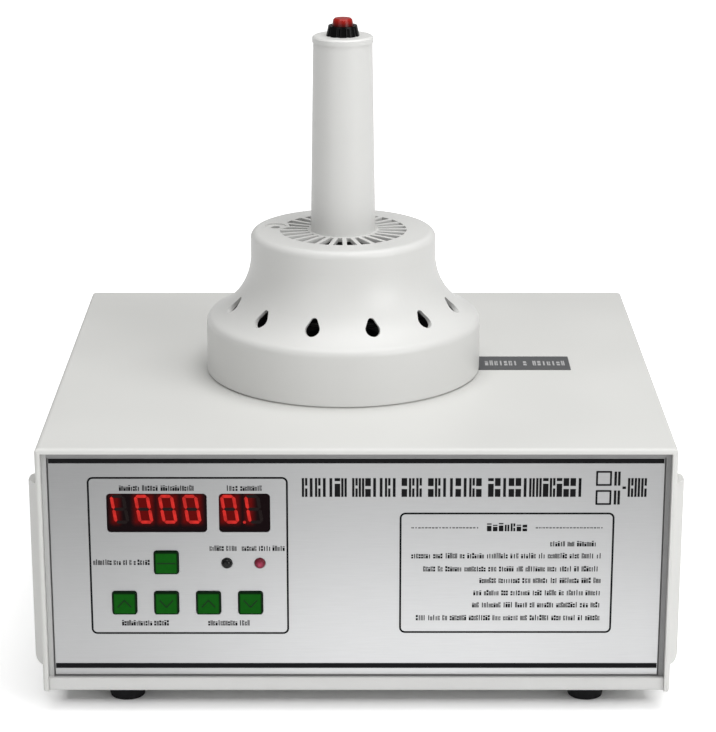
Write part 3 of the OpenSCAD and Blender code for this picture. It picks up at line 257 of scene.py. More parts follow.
def lamp_material(name, node, edge, heart, light, strength):
    """Domed lens, lighter towards its middle: on the dark lamp a painted highlight, on the lit red lamp its
    own light.
    """
    material, tree, shader = new_material(name, Roughness=0.18, Emission_Strength=strength,
                                          Specular_IOR_Level=0.2)
    low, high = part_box(node)
    centre = (low + high) / 2
    # lighter middle: a painted highlight on the dark lamp, the lamp's own glow on the red one
    mask = glow_mask(tree, [(centre, (0.3 * MM, 20 * MM, 0.3 * MM))], 2.2 * MM)
    tree.links.new(mix_colors(tree, mask, rgba(edge), rgba(heart)), shader.inputs["Base Color"])
    dark = tuple(0.25 * part for part in light)
    tree.links.new(mix_colors(tree, mask, rgba(dark), rgba(light)), shader.inputs["Emission Color"])
    return material


def key_material():
    """Green key: bright face, dark border, a fine moulded grain."""
    material, tree, shader = new_material("key_green", Roughness=0.4, Specular_IOR_Level=0.06)
    boxes = []
    for key in KEYS:
        low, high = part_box(key)
        boxes.append(((low + high) / 2, (KEY_FIELD * MM, 20 * MM, KEY_FIELD * MM)))
    face = glow_mask(tree, boxes, 0.7 * MM)
    grain = noise(tree, object_place(tree), 420.0, 3.0)
    green = mix_colors(tree, grain, rgba((0.002, 0.074, 0.002)), rgba((0.004, 0.100, 0.005)))
    tree.links.new(mix_colors(tree, face, rgba((0.001, 0.013, 0.002)), green), shader.inputs["Base Color"])
    bump(tree, shader, noise(tree, object_place(tree), 2200.0, 1.0), 0.02 * MM, 0.3)
    return material


def frame_material():
    """White moulded frame whose set-back strips round the panel carry painted shade, grey, and the left one
    painted light, paler.
    """
    material, tree, shader = new_material("frame_plastic", Roughness=0.42, Specular_IOR_Level=0.4)
    place = put(tree, "ShaderNodeSeparateXYZ", {0: object_place(tree)}).outputs
    # painted shade on the set-back strips behind the rim, with painted light making the left strip paler
    share = ramp(tree, place["Y"], STRIP_FACE - 1.0 * MM, STRIP_FACE - 0.4 * MM)
    side = ramp(tree, place["X"], PANEL_LOW.x - 1.2 * MM, PANEL_LOW.x - 0.6 * MM)
    painted_shade_strips = mix_colors(tree, side, rgba((0.50, 0.50, 0.495)), rgba((0.26, 0.26, 0.26)))
    blotch = noise(tree, object_place(tree), 30.0)
    white = mix_colors(tree, blotch, rgba((0.60, 0.60, 0.59)), rgba((0.64, 0.64, 0.63)))
    tree.links.new(mix_colors(tree, share, white, painted_shade_strips), shader.inputs["Base Color"])
    bump(tree, shader, noise(tree, object_place(tree), 900.0, 1.0), 0.02 * MM, 0.2)
    return material


def shade_color(material, tone):
    """Paints shade into a material's colour: scales it by a value that changes over its surface."""
    tree = material.node_tree
    shader = tree.nodes["Principled BSDF"]
    color = shader.inputs["Base Color"].links[0].from_socket
    shaded = put(tree, "ShaderNodeVectorMath", {0: color, "Scale": tone}, operation="SCALE")
    tree.links.new(shaded.outputs[0], shader.inputs["Base Color"])


def panel_material():
    """Brushed silver film with painted shade, darker towards its upper edge and its two sides, standing in
    for its reflections and the rim's shadow.
    """
    material = brushed_material("panel_silver", (0.74, 0.745, 0.75), (0.28, 0.34), (60.0, 1.0, 2600.0),
                                tone=0.05, Metallic=0.85)
    tree = material.node_tree
    place = put(tree, "ShaderNodeSeparateXYZ", {0: object_place(tree)}).outputs
    # painted shade: darker towards the top and both sides, in place of reflection and the rim's shadow
    painted_shade_rise = ramp(tree, place["Z"], PANEL_LOW.z, PANEL_HIGH.z, 1.0, 0.66)
    left = ramp(tree, place["X"], PANEL_LOW.x, 0.1 * PANEL_HIGH.x, 0.71, 0.99)
    right = ramp(tree, place["X"], 0.4 * PANEL_HIGH.x, PANEL_HIGH.x, 1.0, 0.92)
    shade_color(material, math_node(tree, "MULTIPLY", painted_shade_rise, math_node(tree, "MULTIPLY", left, right)))
    return material


def button_material():
    """Red button with painted shade, darker towards its foot."""
    material = skin_material("trigger_red", (0.31, 0.009, 0.005), (0.2, 0.28), tone=0.12, blotch=120.0,
                             Specular_IOR_Level=0.2)
    tree = material.node_tree
    height = put(tree, "ShaderNodeSeparateXYZ", {0: object_place(tree)}).outputs["Z"]
    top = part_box("trigger_button")[1].z
    # painted shade darkening the button towards its foot, beside the collar
    shade_color(material, ramp(tree, height, top - 3.2 * MM, top - 1.0 * MM, 0.3, 1.0))
    return material


def board_material():
    """Green circuit board with faint tracks."""
    material, tree, shader = new_material("board_green", Roughness=0.35)
    tracks = put(tree, "ShaderNodeTexVoronoi", {"Vector": object_place(tree), "Scale": 260.0},
                 distance="MANHATTAN")
    share = ramp(tree, tracks.outputs["Distance"], 0.25, 0.35)
    tree.links.new(mix_colors(tree, share, rgba((0.02, 0.14, 0.05)), rgba((0.03, 0.22, 0.09))),
                   shader.inputs["Base Color"])
    return material


def glow_material(name, color, strength):
    """Lit display segment, hotter in parts as the light spreads in it."""
    material, tree, shader = new_material(name, Roughness=0.5, Emission_Strength=strength,
                                          Specular_IOR_Level=0.08)
    shader.inputs["Base Color"].default_value = (0.02, 0.001, 0.001, 1.0)
    share = ramp(tree, noise(tree, object_place(tree), 330.0, 1.0), 0.3, 0.7)
    hot = tuple(1.5 * part for part in color)
    tree.links.new(mix_colors(tree, share, rgba(color), rgba(hot)), shader.inputs["Emission Color"])
    return material


# Seven-segment figures: middle of each cell and what is lit, in millimetres on the panel
FIGURE_W = 6.9
FIGURE_H = 14.0
FIGURE_STROKE = 1.5
FIGURE_GAP = 0.12
FIGURE_SLANT = math.tan(math.radians(8.5))
FIGURE_Z = 89.0
FIGURE_PITCH = 10.95
COUNTER_X = -107.6
TIMER_X = -57.55
ZERO = ("top", "upper_left", "upper_right", "lower_left", "lower_right", "foot")
ONE = ("upper_left", "lower_left")
COUNTER_FIGURES = (ONE, ZERO, ZERO, ZERO)
TIMER_FIGURES = (ZERO, ONE)
POINT_X = -50.9
POINT_Z = 82.7
POINT_R = 0.7


def on_panel(x, z, y=PANEL_FACE):
    """Point on the panel from millimetres off the middle plane and above the casing's underside."""
    return Vector((x * MM, y, CASE_FOOT + z * MM))


def figure_boxes(first_x, figures):
    """Centre and half size of the glow behind each lit figure."""
    boxes = []
    for place, lit in enumerate(figures):
        narrow = lit == ONE
        x = first_x + place * FIGURE_PITCH - (FIGURE_W / 2 - FIGURE_STROKE if narrow else 0.0)
        half = FIGURE_STROKE / 2 if narrow else FIGURE_W / 2
        boxes.append((on_panel(x, FIGURE_Z, WINDOW_FACE), (half * MM, 20 * MM, (FIGURE_H / 2 - 1) * MM)))
    return boxes


OFF_WHITE = (0.66, 0.66, 0.64)
WHITE_PLASTIC = (0.635, 0.635, 0.62)

MATERIALS = {
    "casing_paint": skin_material("casing_paint", OFF_WHITE, (0.42, 0.52), tone=0.025),
    "frame_plastic": frame_material(),
    "panel_silver": panel_material(),
    "key_green": key_material(),
    # the dark lamp's lighter heart colour is a painted highlight
    "lamp_dark": lamp_material("lamp_dark", "work_lamp", (0.003, 0.003, 0.0035), (0.012, 0.013, 0.013),
                               (0.0, 0.0, 0.0), 0.0),
    "lamp_red": lamp_material("lamp_red", "power_lamp", (0.10, 0.006, 0.014), (0.30, 0.035, 0.075),
                              (0.10, 0.012, 0.025), 1.0),
    "head_plastic": skin_material("head_plastic", WHITE_PLASTIC, (0.34, 0.40), tone=0.012, peel=700.0,
                                  relief=0.01 * MM, strength=0.08, Specular_IOR_Level=0.4),
    "base_plate": skin_material("base_plate", (0.62, 0.62, 0.60), (0.45, 0.55)),
    "former_plastic": skin_material("former_plastic", (0.035, 0.035, 0.037), (0.45, 0.6)),
    "trigger_red": button_material(),
    "black_plastic": skin_material("black_plastic", (0.002, 0.002, 0.002), (0.22, 0.3), peel=1800.0,
                                   Specular_IOR_Level=0.12),
    "rocker_black": skin_material("rocker_black", (0.010, 0.010, 0.011), (0.18, 0.28)),
    "foot_rubber": skin_material("foot_rubber", (0.005, 0.005, 0.006), (0.6, 0.75), tone=0.2, blotch=70.0,
                                 peel=1500.0, strength=0.4, Specular_IOR_Level=0.25),
    "steel": brushed_material("steel", (0.58, 0.58, 0.57), (0.25, 0.4), (900.0, 900.0, 900.0), Metallic=1.0),
    "guard_chrome": brushed_material("guard_chrome", (0.72, 0.73, 0.74), (0.10, 0.2), (300.0, 300.0, 300.0),
                                     tone=0.1, Metallic=1.0),
    "board_green": board_material(),
    "copper": brushed_material("copper", (0.62, 0.27, 0.12), (0.3, 0.42), (200.0, 200.0, 2000.0),
                               Metallic=1.0),
    "ferrite": skin_material("ferrite", (0.03, 0.03, 0.033), (0.5, 0.65), tone=0.2, peel=1400.0,
                             strength=0.5),
    "sink_aluminium": brushed_material("sink_aluminium", (0.66, 0.67, 0.68), (0.3, 0.45),
                                       (2000.0, 30.0, 2000.0), Metallic=1.0),
    "sleeve_blue": skin_material("sleeve_blue", (0.012, 0.03, 0.12), (0.25, 0.4)),
    "sleeve_yellow": skin_material("sleeve_yellow", (0.55, 0.38, 0.03), (0.35, 0.5)),
    "label_grey": skin_material("label_grey", (0.085, 0.088, 0.092), (0.35, 0.45), tone=0.08),
}
COUNTER_WINDOW = window_material("counter_window", figure_boxes(COUNTER_X, COUNTER_FIGURES))
TIMER_WINDOW = window_material("timer_window", figure_boxes(TIMER_X, TIMER_FIGURES))
INK = skin_material("panel_ink", (0.006, 0.006, 0.007), (0.5, 0.6), tone=0.2, blotch=200.0,
                    Specular_IOR_Level=0.1)
LABEL_INK = skin_material("label_ink", (0.42, 0.42, 0.42), (0.4, 0.5))
SIGN = skin_material("key_sign", (0.001, 0.030, 0.002), (0.4, 0.5), Specular_IOR_Level=0.15)
LIT = glow_material("segment_lit", (0.46, 0.018, 0.014), 1.0)
# coil coloured near black: painted shade for the dark inside of the head seen through the vents
COIL_PAINTED_SHADE = skin_material("coil_wire", (0.014, 0.008, 0.006), (0.4, 0.5), tone=0.2, blotch=400.0)
UNLIT = skin_material("segment_unlit", (0.010, 0.005, 0.005), (0.25, 0.35), Specular_IOR_Level=0.1)


NODE_MATERIALS = {"counter_display": COUNTER_WINDOW, "timer_display": TIMER_WINDOW, "coil": COIL_PAINTED_SHADE}


def finish_cad_nodes():
    """Gives each CAD piece its own material, or else that of its slot in the record."""
    for part in frame["record"]["subparts"]:
        name = part["node"]
        material = NODE_MATERIALS.get(name) or MATERIALS[part["material_slot"]]
        for place in nodes[name].material_slots:
            place.material = material


finish_cad_nodes()


# Pieces made here

def add_piece(name, mesh, material, body="root"):
    """Object at the origin with one material, on its body."""
    piece = bpy.data.objects.new(name, mesh)
    bpy.context.scene.collection.objects.link(piece)
    mesh.materials.clear()
    mesh.materials.append(material)
    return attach(piece, body)


def mesh_from(shape, name):
    """Mesh of a finished bmesh with its faces turned outwards."""
    bmesh.ops.recalc_face_normals(shape, faces=shape.faces)
    mesh = bpy.data.meshes.new(name)
    shape.to_mesh(mesh)
    shape.free()
    return mesh


def add_prism(shape, outline, face, depth):
    """Upright prism: an outline of (x, z) points in metres, from its front face back by its depth."""
    front = [shape.verts.new((x, face, z)) for x, z in outline]
    back = [shape.verts.new((x, face + depth, z)) for x, z in outline]
    count = len(outline)
    shape.faces.new(front)
    shape.faces.new(back[::-1])
    for i in range(count):
        j = (i + 1) % count
        shape.faces.new((front[i], back[i], back[j], front[j]))


def add_bar(shape, x0, x1, z0, z1):
    """Printed bar on the panel, in millimetres."""
    low = on_panel(x0, z0)
    high = on_panel(x1, z1)
    corners = [(low.x, low.z), (high.x, low.z), (high.x, high.z), (low.x, high.z)]
    add_prism(shape, corners, PANEL_FACE - INK_RAISE, INK_DEPTH)


def rounded_corners(x0, x1, z0, z1, radius, steps=6):
    """Points round a rectangle with rounded corners, in metres on the panel."""
    points = []
    for cx, cz, start in ((x1 - radius, z1 - radius, 0), (x0 + radius, z1 - radius, 90),
                          (x0 + radius, z0 + radius, 180), (x1 - radius, z0 + radius, 270)):
        for i in range(steps + 1):
            angle = math.radians(start + 90 * i / steps)
            point = on_panel(cx + radius * math.cos(angle), cz + radius * math.sin(angle))
            points.append((point.x, point.z))
    return points


def add_outline(shape, x0, x1, z0, z1, radius, line):
    """Printed line round a rounded rectangle, in millimetres on the panel."""
    outer = rounded_corners(x0, x1, z0, z1, radius)
    inner = rounded_corners(x0 + line, x1 - line, z0 + line, z1 - line, max(radius - line, 0.1))
    face = PANEL_FACE - INK_RAISE
    rings = []
    for outline, y in ((outer, face), (inner, face), (inner, face + INK_DEPTH), (outer, face + INK_DEPTH)):
        rings.append([shape.verts.new((x, y, z)) for x, z in outline])
    count = len(outer)
    for k in range(4):
        near = rings[k]
        far = rings[(k + 1) % 4]
        for i in range(count):
            j = (i + 1) % count
            shape.faces.new((near[i], near[j], far[j], far[i]))


# Panel print: bands, frames and rows of marks

BAND_SPANS = ((111.2, 113.5), (10.6, 13.1))
CONTROL_BOX = (-122.1, -31.0, 27.7, 104.7)
NOTICE_BOX = (19.7, 117.5, 28.2, 87.5)
BAND_INSET = 0.15
BOX_LINE = 0.9
BOX_RADIUS = 2.7
TICK_BOX_X = 108.5
TICK_BOX_W = 7.2
TICK_BOX_Z = (91.2, 100.4)


def make_panel_lines():
    """Black bands along the panel's top and foot, and the frames round its two fields."""
    shape = bmesh.new()
    for z0, z1 in BAND_SPANS:
        add_bar(shape, PANEL_LOW.x / MM + BAND_INSET, PANEL_HIGH.x / MM - BAND_INSET, z0, z1)
    for x0, x1, z0, z1 in (CONTROL_BOX, NOTICE_BOX):
        add_outline(shape, x0, x1, z0, z1, BOX_RADIUS, BOX_LINE)
    add_bar(shape, *TITLE_DASH)
    for x, z in SIDE_MARKS:
        for left in (x, x + SIDE_MARK_W + SIDE_MARK_GAP):
            add_bar(shape, left, left + SIDE_MARK_W, z, z + SIDE_MARK_H)
    for z in TICK_BOX_Z:
        add_outline(shape, TICK_BOX_X, TICK_BOX_X + TICK_BOX_W, z, z + TICK_BOX_W, 0.4, BOX_LINE)
    return add_piece("panel_lines", mesh_from(shape, "panel_lines"), INK)


# Marks in a unit cell: each is a set of plain bars given as left, right, foot and top
MARK_BARS = (
    ((0.0, 0.42, 0.0, 1.0), (0.58, 1.0, 0.0, 1.0)),
    ((0.0, 0.42, 0.0, 1.0), (0.58, 1.0, 0.0, 0.45), (0.58, 1.0, 0.60, 1.0)),
    ((0.0, 1.0, 0.0, 0.70), (0.0, 1.0, 0.84, 1.0)),
    ((0.25, 0.75, 0.0, 1.0),),
    ((0.0, 1.0, 0.0, 0.42), (0.0, 1.0, 0.58, 1.0)),
)


def make_row_tree():
    """Rows of print marks: a random mark at each step along the given edges, with some left out."""
    tree = bpy.data.node_groups.new("print_rows", "GeometryNodeTree")
    sockets = {}
    tree.interface.new_socket("Rows", in_out="INPUT", socket_type="NodeSocketGeometry")
    for label, kind in (("Pitch", "Float"), ("Mark Width", "Float"), ("Mark Height", "Float"),
                        ("Low Height", "Float"), ("Depth", "Float"), ("Spaces", "Float"), ("Tilt", "Float"),
                        ("Seed", "Int"), ("Ink", "Material")):
        item = tree.interface.new_socket(label, in_out="INPUT", socket_type="NodeSocket" + kind)
        sockets[label] = item.identifier
    tree.interface.new_socket("Marks", in_out="OUTPUT", socket_type="NodeSocketGeometry")
    given = tree.nodes.new("NodeGroupInput").outputs
    marks = tree.nodes.new("GeometryNodeJoinGeometry")
    for bars in MARK_BARS:
        joined = tree.nodes.new("GeometryNodeJoinGeometry")
        for x0, x1, z0, z1 in bars:
            cube = put(tree, "GeometryNodeMeshCube", {"Size": (x1 - x0, 1.0, z1 - z0)})
            moved = put(tree, "GeometryNodeTransform", {"Geometry": cube.outputs["Mesh"],
                                                        "Translation": ((x0 + x1) / 2, 0.0, (z0 + z1) / 2)})
            tree.links.new(moved.outputs[0], joined.inputs[0])
        single = put(tree, "GeometryNodeGeometryToInstance", {0: joined.outputs[0]})
        tree.links.new(single.outputs[0], marks.inputs[0])
    curve = put(tree, "GeometryNodeMeshToCurve", {"Mesh": given["Rows"]})
    steps = put(tree, "GeometryNodeResampleCurve", {"Curve": curve.outputs[0], "Length": given["Pitch"]},
                mode="LENGTH")
    drop = put(tree, "FunctionNodeRandomValue", {"Probability": given["Spaces"], "Seed": given["Seed"]},
               data_type="BOOLEAN")
    kept = put(tree, "GeometryNodeDeleteGeometry",
               {"Geometry": steps.outputs[0], "Selection": drop.outputs[3]})
    pick = put(tree, "FunctionNodeRandomValue", {4: 0, 5: len(MARK_BARS) - 1, "Seed": given["Seed"]},
               data_type="INT")
    tall = put(tree, "FunctionNodeRandomValue", {2: given["Low Height"], 3: given["Mark Height"],
                                                 "Seed": given["Seed"]}, data_type="FLOAT")
    size = put(tree, "ShaderNodeCombineXYZ", {0: given["Mark Width"], 1: given["Depth"], 2: tall.outputs[1]})
    turn = put(tree, "ShaderNodeCombineXYZ", {0: given["Tilt"]})
    placed = put(tree, "GeometryNodeInstanceOnPoints",
                 {"Points": kept.outputs[0], "Instance": marks.outputs[0], "Pick Instance": True,
                  "Instance Index": pick.outputs[2], "Rotation": turn.outputs[0], "Scale": size.outputs[0]})
    real = put(tree, "GeometryNodeRealizeInstances", {0: placed.outputs[0]})
    inked = put(tree, "GeometryNodeSetMaterial", {"Geometry": real.outputs[0], "Material": given["Ink"]})
    result = tree.nodes.new("NodeGroupOutput")
    tree.links.new(inked.outputs[0], result.inputs[0])
    return tree, sockets


ROW_TREE, ROW_SOCKETS = make_row_tree()


def make_rows(name, rows, ink, slot, **sizes):
    """Piece of print rows; each row is its left end and its right end at the foot of the marks."""
    lines = bpy.data.meshes.new(name + "_lines")
    ends = [end for row in rows for end in row]
    lines.from_pydata(ends, [(2 * i, 2 * i + 1) for i in range(len(rows))], [])
    holder = bpy.data.objects.new(name + "_rows", lines)
    bpy.context.scene.collection.objects.link(holder)
    modifier = holder.modifiers.new("rows", "NODES")
    modifier.node_group = ROW_TREE
    for label, value in {"Depth": INK_DEPTH, "Spaces": 0.0, "Tilt": 0.0, **sizes, "Ink": ink}.items():
        modifier[ROW_SOCKETS[label.replace("_", " ")]] = value
    ready = holder.evaluated_get(bpy.context.evaluated_depsgraph_get())
    mesh = bpy.data.meshes.new_from_object(ready)
    mesh.name = name
    bpy.data.objects.remove(holder)
    return add_piece(name, mesh, ink)


def panel_row(x0, x1, z, pitch):
    """Row of print on the panel, from its left end to its last mark, at its foot."""
    face = PANEL_FACE - INK_RAISE + INK_DEPTH / 2
    return on_panel(x0, z, face), on_panel(max(x1 - pitch, x0 + 0.1), z, face)


LABEL_ROWS = (
    (-107.6, -98.1, 98.0), (-97.1, -89.9, 98.0), (-88.7, -73.6, 98.0),
    (-58.9, -53.7, 98.0), (-52.6, -42.8, 98.0),
    (-67.0, -60.4, 68.8), (-59.4, -54.6, 68.8),
    (-52.3, -45.5, 68.8), (-44.7, -39.0, 68.8), (-38.3, -32.6, 68.8),
    (-120.3, -111.8, 61.9), (-111.0, -107.6, 61.9), (-106.7, -104.6, 61.9), (-103.8, -100.8, 61.9),
    (-100.1, -94.4, 61.9),
    (-108.0, -94.0, 31.9), (-93.2, -86.3, 31.9), (-68.3, -54.7, 31.9), (-53.9, -49.1, 31.9),
)
WORD_LENGTHS = (6.8, 3.2, 8.9, 4.4, 5.6, 2.3, 7.7, 9.8, 3.8)
WORD_GAP = 1.1
SMALL_PITCH = 1.05
HEAD_PITCH = 2.5
RULE_PITCH = 1.5
TITLE_PITCH = 2.95
NOTICE_FEET = (71.0, 65.1, 58.7, 53.0, 46.9, 40.9, 34.5)
NOTICE_LEFT = (88.5, 25.1, 30.6, 56.4, 53.7, 53.2, 27.4)
NOTICE_RIGHT = 112.1
NOTICE_HEAD = (59.5, 78.2, 78.4)
RULES = ((25.1, 56.2, 79.8), (81.7, 112.8, 79.8))
TITLE_WORDS = ((-24.7, -3.9), (-1.9, 18.85), (20.5, 30.1), (32.5, 57.2), (59.7, 103.0), (123.0, 132.0))
TITLE_Z = 95.1
TITLE_DASH = (120.6, 122.2, 98.9, 100.1)
SIDE_MARKS = ((116.8, 91.4), (116.8, 100.5))
SIDE_MARK_W = 1.15
SIDE_MARK_H = 6.8
SIDE_MARK_GAP = 0.5


def break_words(x0, x1, z, first):
    """Row of print broken into words of changing length."""
    rows = []
    left = x0
    while x1 - left > 2 * SMALL_PITCH:
        right = min(left + WORD_LENGTHS[first % len(WORD_LENGTHS)], x1)
        rows.append((left, right, z))
        left = right + WORD_GAP
        first += 1
    return rows


def make_print():
    """All rows of marks on the panel."""
    words = list(LABEL_ROWS)
    for line, (left, z) in enumerate(zip(NOTICE_LEFT, NOTICE_FEET)):
        words += break_words(left, NOTICE_RIGHT, z, 2 * line)
    small = [panel_row(*word, SMALL_PITCH) for word in words]
    make_rows("panel_small_print", small, INK, "panel_silver", Pitch=SMALL_PITCH * MM,
              Mark_Width=0.93 * MM, Mark_Height=2.75 * MM, Low_Height=1.9 * MM, Seed=7)
    make_rows("panel_head_print", [panel_row(*NOTICE_HEAD, HEAD_PITCH)], INK, "panel_silver",
              Pitch=HEAD_PITCH * MM, Mark_Width=2.1 * MM, Mark_Height=4.2 * MM, Low_Height=3.0 * MM, Seed=4)
    titles = [panel_row(x0, x1, TITLE_Z, TITLE_PITCH) for x0, x1 in TITLE_WORDS]
    make_rows("panel_title_print", titles, INK, "panel_silver", Pitch=TITLE_PITCH * MM,
              Mark_Width=2.55 * MM, Mark_Height=9.1 * MM, Low_Height=9.0 * MM, Seed=12)
    rules = [panel_row(*row, RULE_PITCH) for row in RULES]
    make_rows("panel_rules", rules, INK, "panel_silver", Pitch=RULE_PITCH * MM, Mark_Width=1.1 * MM,
              Mark_Height=0.6 * MM, Low_Height=0.59 * MM, Seed=1)


# Row on the lid label: its foot as a share of the label's depth, then its right margin and length
LABEL_PRINT_RISE = 0.3
LABEL_PRINT_INSET = 4
LABEL_PRINT_LENGTH = 38


def make_label_print():
    """Light marks along the lid label."""
    foot = LABEL_LOW.y + LABEL_PRINT_RISE * (LABEL_HIGH.y - LABEL_LOW.y)
    face = LABEL_HIGH.z + INK_RAISE - INK_DEPTH / 2
    right = LABEL_HIGH.x - LABEL_PRINT_INSET * MM
    left = right - LABEL_PRINT_LENGTH * MM
    row = (Vector((left, foot, face)), Vector((right, foot, face)))
    make_rows("label_print", [row], LABEL_INK, "label_grey", Pitch=2.3 * MM, Mark_Width=1.6 * MM,
              Mark_Height=8.0 * MM, Low_Height=6.0 * MM, Spaces=0.12, Tilt=-math.pi / 2, Seed=5)


# Displays and signs

def segment_ends():
    """Ends of the seven segments in a figure's cell, from its middle, in millimetres."""
    side = FIGURE_W / 2 - FIGURE_STROKE / 2
    high = FIGURE_H / 2 - FIGURE_STROKE / 2
    return {
        "top": ((-side, high), (side, high)), "middle": ((-side, 0.0), (side, 0.0)),
        "foot": ((-side, -high), (side, -high)),
        "upper_left": ((-side, 0.0), (-side, high)), "upper_right": ((side, 0.0), (side, high)),
        "lower_left": ((-side, -high), (-side, 0.0)), "lower_right": ((side, -high), (side, 0.0)),
    }


def stroke_outline(start, end, half, gap=0.0, pointed=False):
    """Outline of a stroke between two points, with pointed or square ends, in the points' units."""
    a = Vector(start)
    b = Vector(end)
    along = (b - a).normalized()
    across = Vector((-along.y, along.x)) * half
    a = a + along * gap
    b = b - along * gap
    inset = along * half if pointed else along * 0.0
    points = [a + inset - across, b - inset - across, b - inset + across, a + inset + across]
    if pointed:
        points = [points[0], points[1], b, points[2], points[3], a]
    return points


def make_figures(name, first_x, figures, lit):
    """Lit or unlit segments of one display, leaning with their tops to the left."""
    shape = bmesh.new()
    face = WINDOW_FACE - INK_RAISE
    for place, shown in enumerate(figures):
        for segment, (start, end) in segment_ends().items():
            if (segment in shown) != lit:
                continue
            outline = []
            for point in stroke_outline(start, end, FIGURE_STROKE / 2, FIGURE_GAP, True):
                x = first_x + place * FIGURE_PITCH + point.x - FIGURE_SLANT * point.y
                spot = on_panel(x, FIGURE_Z + point.y)
                outline.append((spot.x, spot.z))
            add_prism(shape, outline, face, INK_DEPTH)
    if lit and figures is TIMER_FIGURES:
        spots = [on_panel(POINT_X + POINT_R * math.cos(turn), POINT_Z + POINT_R * math.sin(turn))
                 for turn in (i * math.pi / 6 for i in range(12))]
        add_prism(shape, [(spot.x, spot.z) for spot in spots], face, INK_DEPTH)
    return add_piece(name, mesh_from(shape, name), LIT if lit else UNLIT)


SIGN_HALF_W = 3.1
SIGN_HALF_H = 1.75
SIGN_STROKE = 0.75
DASH_HALF = 4.3
UP = ((-SIGN_HALF_W, -SIGN_HALF_H), (0.0, SIGN_HALF_H), (SIGN_HALF_W, -SIGN_HALF_H))
DOWN = ((-SIGN_HALF_W, SIGN_HALF_H), (0.0, -SIGN_HALF_H), (SIGN_HALF_W, SIGN_HALF_H))
DASH = ((-DASH_HALF, 0.0), (DASH_HALF, 0.0))
KEY_SIGNS = {"zero_key": DASH, "power_up_key": UP, "power_down_key": DOWN, "time_up_key": UP,
             "time_down_key": DOWN}


def make_key_sign(key, points):
    """Sign on a key's face, riding with the key."""
    low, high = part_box(key)
    centre_x = (low.x + high.x) / 2
    centre_z = (low.z + high.z) / 2
    shape = bmesh.new()
    for start, end in zip(points, points[1:]):
        outline = []
        for point in stroke_outline(start, end, SIGN_STROKE / 2):
            outline.append((centre_x + point.x * MM, centre_z + point.y * MM))
        add_prism(shape, outline, low.y - INK_RAISE, INK_DEPTH)
    return add_piece(key + "_sign", mesh_from(shape, key + "_sign"), SIGN, key)


make_panel_lines()
make_print()
make_label_print()
for label, first_x, figures in (("counter", COUNTER_X, COUNTER_FIGURES), ("timer", TIMER_X, TIMER_FIGURES)):
    make_figures(label + "_lit", first_x, figures, True)
    make_figures(label + "_unlit", first_x, figures, False)
for key, points in KEY_SIGNS.items():
    make_key_sign(key, points)


# Camera, floor and light

FRAME_LONG_SIDE = 732
FOCAL_PIXELS = 2488.7
SENSOR = 36.0
CAMERA_PLACE = (0.00077, -1.1932, 0.499)
CAMERA_PITCH = 17.382


def make_camera():
    """Camera at the height and distance that give the front view seen from a little above."""
    data = bpy.data.cameras.new("camera")
    data.sensor_width = SENSOR
    data.lens = FOCAL_PIXELS * SENSOR / FRAME_LONG_SIDE
    data.clip_end = 50.0
    camera = bpy.data.objects.new("camera", data)
    camera.location = CAMERA_PLACE
    camera.rotation_euler = (math.radians(90.0 - CAMERA_PITCH), 0.0, 0.0)
    bpy.context.scene.collection.objects.link(camera)
    bpy.context.scene.camera = camera


# Floor: its half side, the glow it has near the viewer, far away and in the picture alone, and the painted
# shadow under the casing, set in from its outline and fading out
FLOOR_HALF = 8.0
FLOOR_DROP = 0.0002
GLOW_NEAR = 0.10
GLOW_FAR = 0.62
GLOW_SPAN = (-0.2, 0.9)
GLOW_SEEN = 0.30
SHADE_INSET = 16
SHADE_FADE = 13


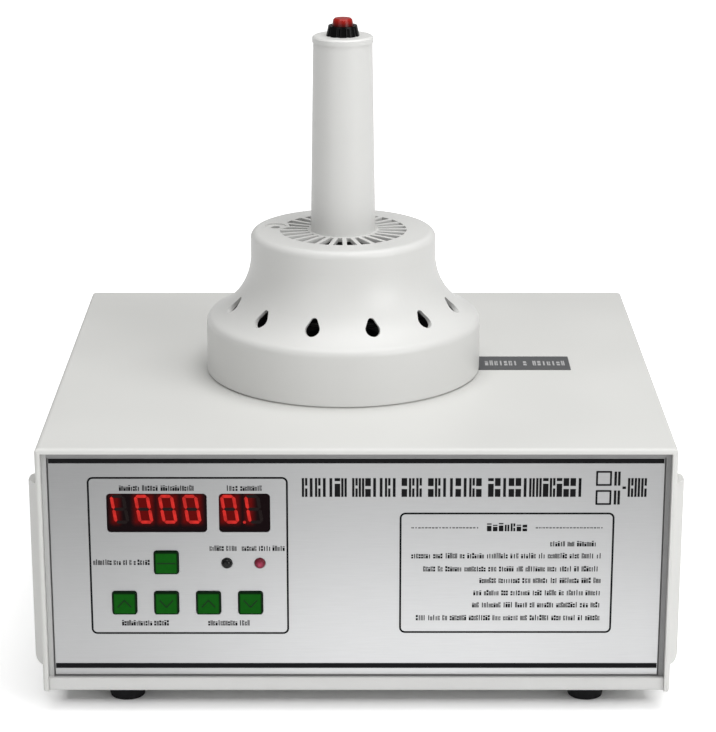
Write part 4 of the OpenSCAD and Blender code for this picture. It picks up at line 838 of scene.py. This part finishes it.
def make_floor():
    """Pale floor that fills the view and glows like a light table, with a painted shadow under the casing
    where the glow is taken away.
    """
    mesh = bpy.data.meshes.new("floor")
    corners = [(FLOOR_HALF * x, FLOOR_HALF * y, 0.0) for x, y in ((-1, -1), (1, -1), (1, 1), (-1, 1))]
    mesh.from_pydata(corners, [], [(0, 1, 2, 3)])
    floor = bpy.data.objects.new("floor", mesh)
    bpy.context.scene.collection.objects.link(floor)
    floor.location.z = -FLOOR_DROP
    material, tree, shader = new_material("floor", Roughness=0.8, Emission_Strength=1.0)
    back = put(tree, "ShaderNodeSeparateXYZ", {0: object_place(tree)}).outputs["Y"]
    low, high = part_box("cover")
    half_size = (high - low) / 2 + Vector((-SHADE_INSET * MM, -SHADE_INSET * MM, 1.0))
    # painted shadow: the floor's glow is taken away under the casing and fades back round it
    under = glow_mask(tree, [((low + high) / 2, half_size)], SHADE_FADE * MM)
    clear = math_node(tree, "SUBTRACT", 1.0, under)
    seen = math_node(tree, "MULTIPLY", put(tree, "ShaderNodeLightPath").outputs["Is Camera Ray"], GLOW_SEEN)
    light = math_node(tree, "ADD", ramp(tree, back, *GLOW_SPAN, GLOW_NEAR, GLOW_FAR), seen)
    tree.links.new(math_node(tree, "MULTIPLY", light, clear), shader.inputs["Emission Color"])
    share = noise(tree, object_place(tree), 3.0)
    tree.links.new(mix_colors(tree, share, rgba((0.90, 0.90, 0.90)), rgba((0.93, 0.93, 0.93))),
                   shader.inputs["Base Color"])
    mesh.materials.append(material)


def add_softbox(name, place, aim, size, power):
    """Large soft light at a place, turned to its aim."""
    data = bpy.data.lights.new(name, "AREA")
    data.shape = "RECTANGLE"
    data.size, data.size_y = size
    data.energy = power
    lamp = bpy.data.objects.new(name, data)
    lamp.location = place
    lamp.rotation_euler = (Vector(aim) - Vector(place)).to_track_quat("-Z", "Y").to_euler()
    bpy.context.scene.collection.objects.link(lamp)


# Soft lights: name, place, aim, size in metres and power in watts
SOFTBOXES = (
    ("overhead", (0.12, -0.08, 1.1), (0.05, -0.04, 0.0), (0.9, 0.9), 8.6),
    ("right_front", (1.2, -1.1, 0.75), (0.0, 0.0, 0.15), (1.0, 1.0), 12.6),
    ("left_front", (-0.75, -1.3, 0.55), (0.0, 0.0, 0.15), (1.0, 1.0), 3.8),
)
SURROUND = 0.28


def make_light():
    """Soft light from above and from both sides in front, fainter at the left, and an even pale surround."""
    world = bpy.data.worlds.new("surround")
    world.use_nodes = True
    background = world.node_tree.nodes["Background"].inputs
    background["Color"].default_value = (1.0, 1.0, 1.0, 1.0)
    background["Strength"].default_value = SURROUND
    bpy.context.scene.world = world
    for softbox in SOFTBOXES:
        add_softbox(*softbox)
    bpy.context.scene.view_settings.view_transform = "Standard"


make_camera()
make_floor()
make_light()
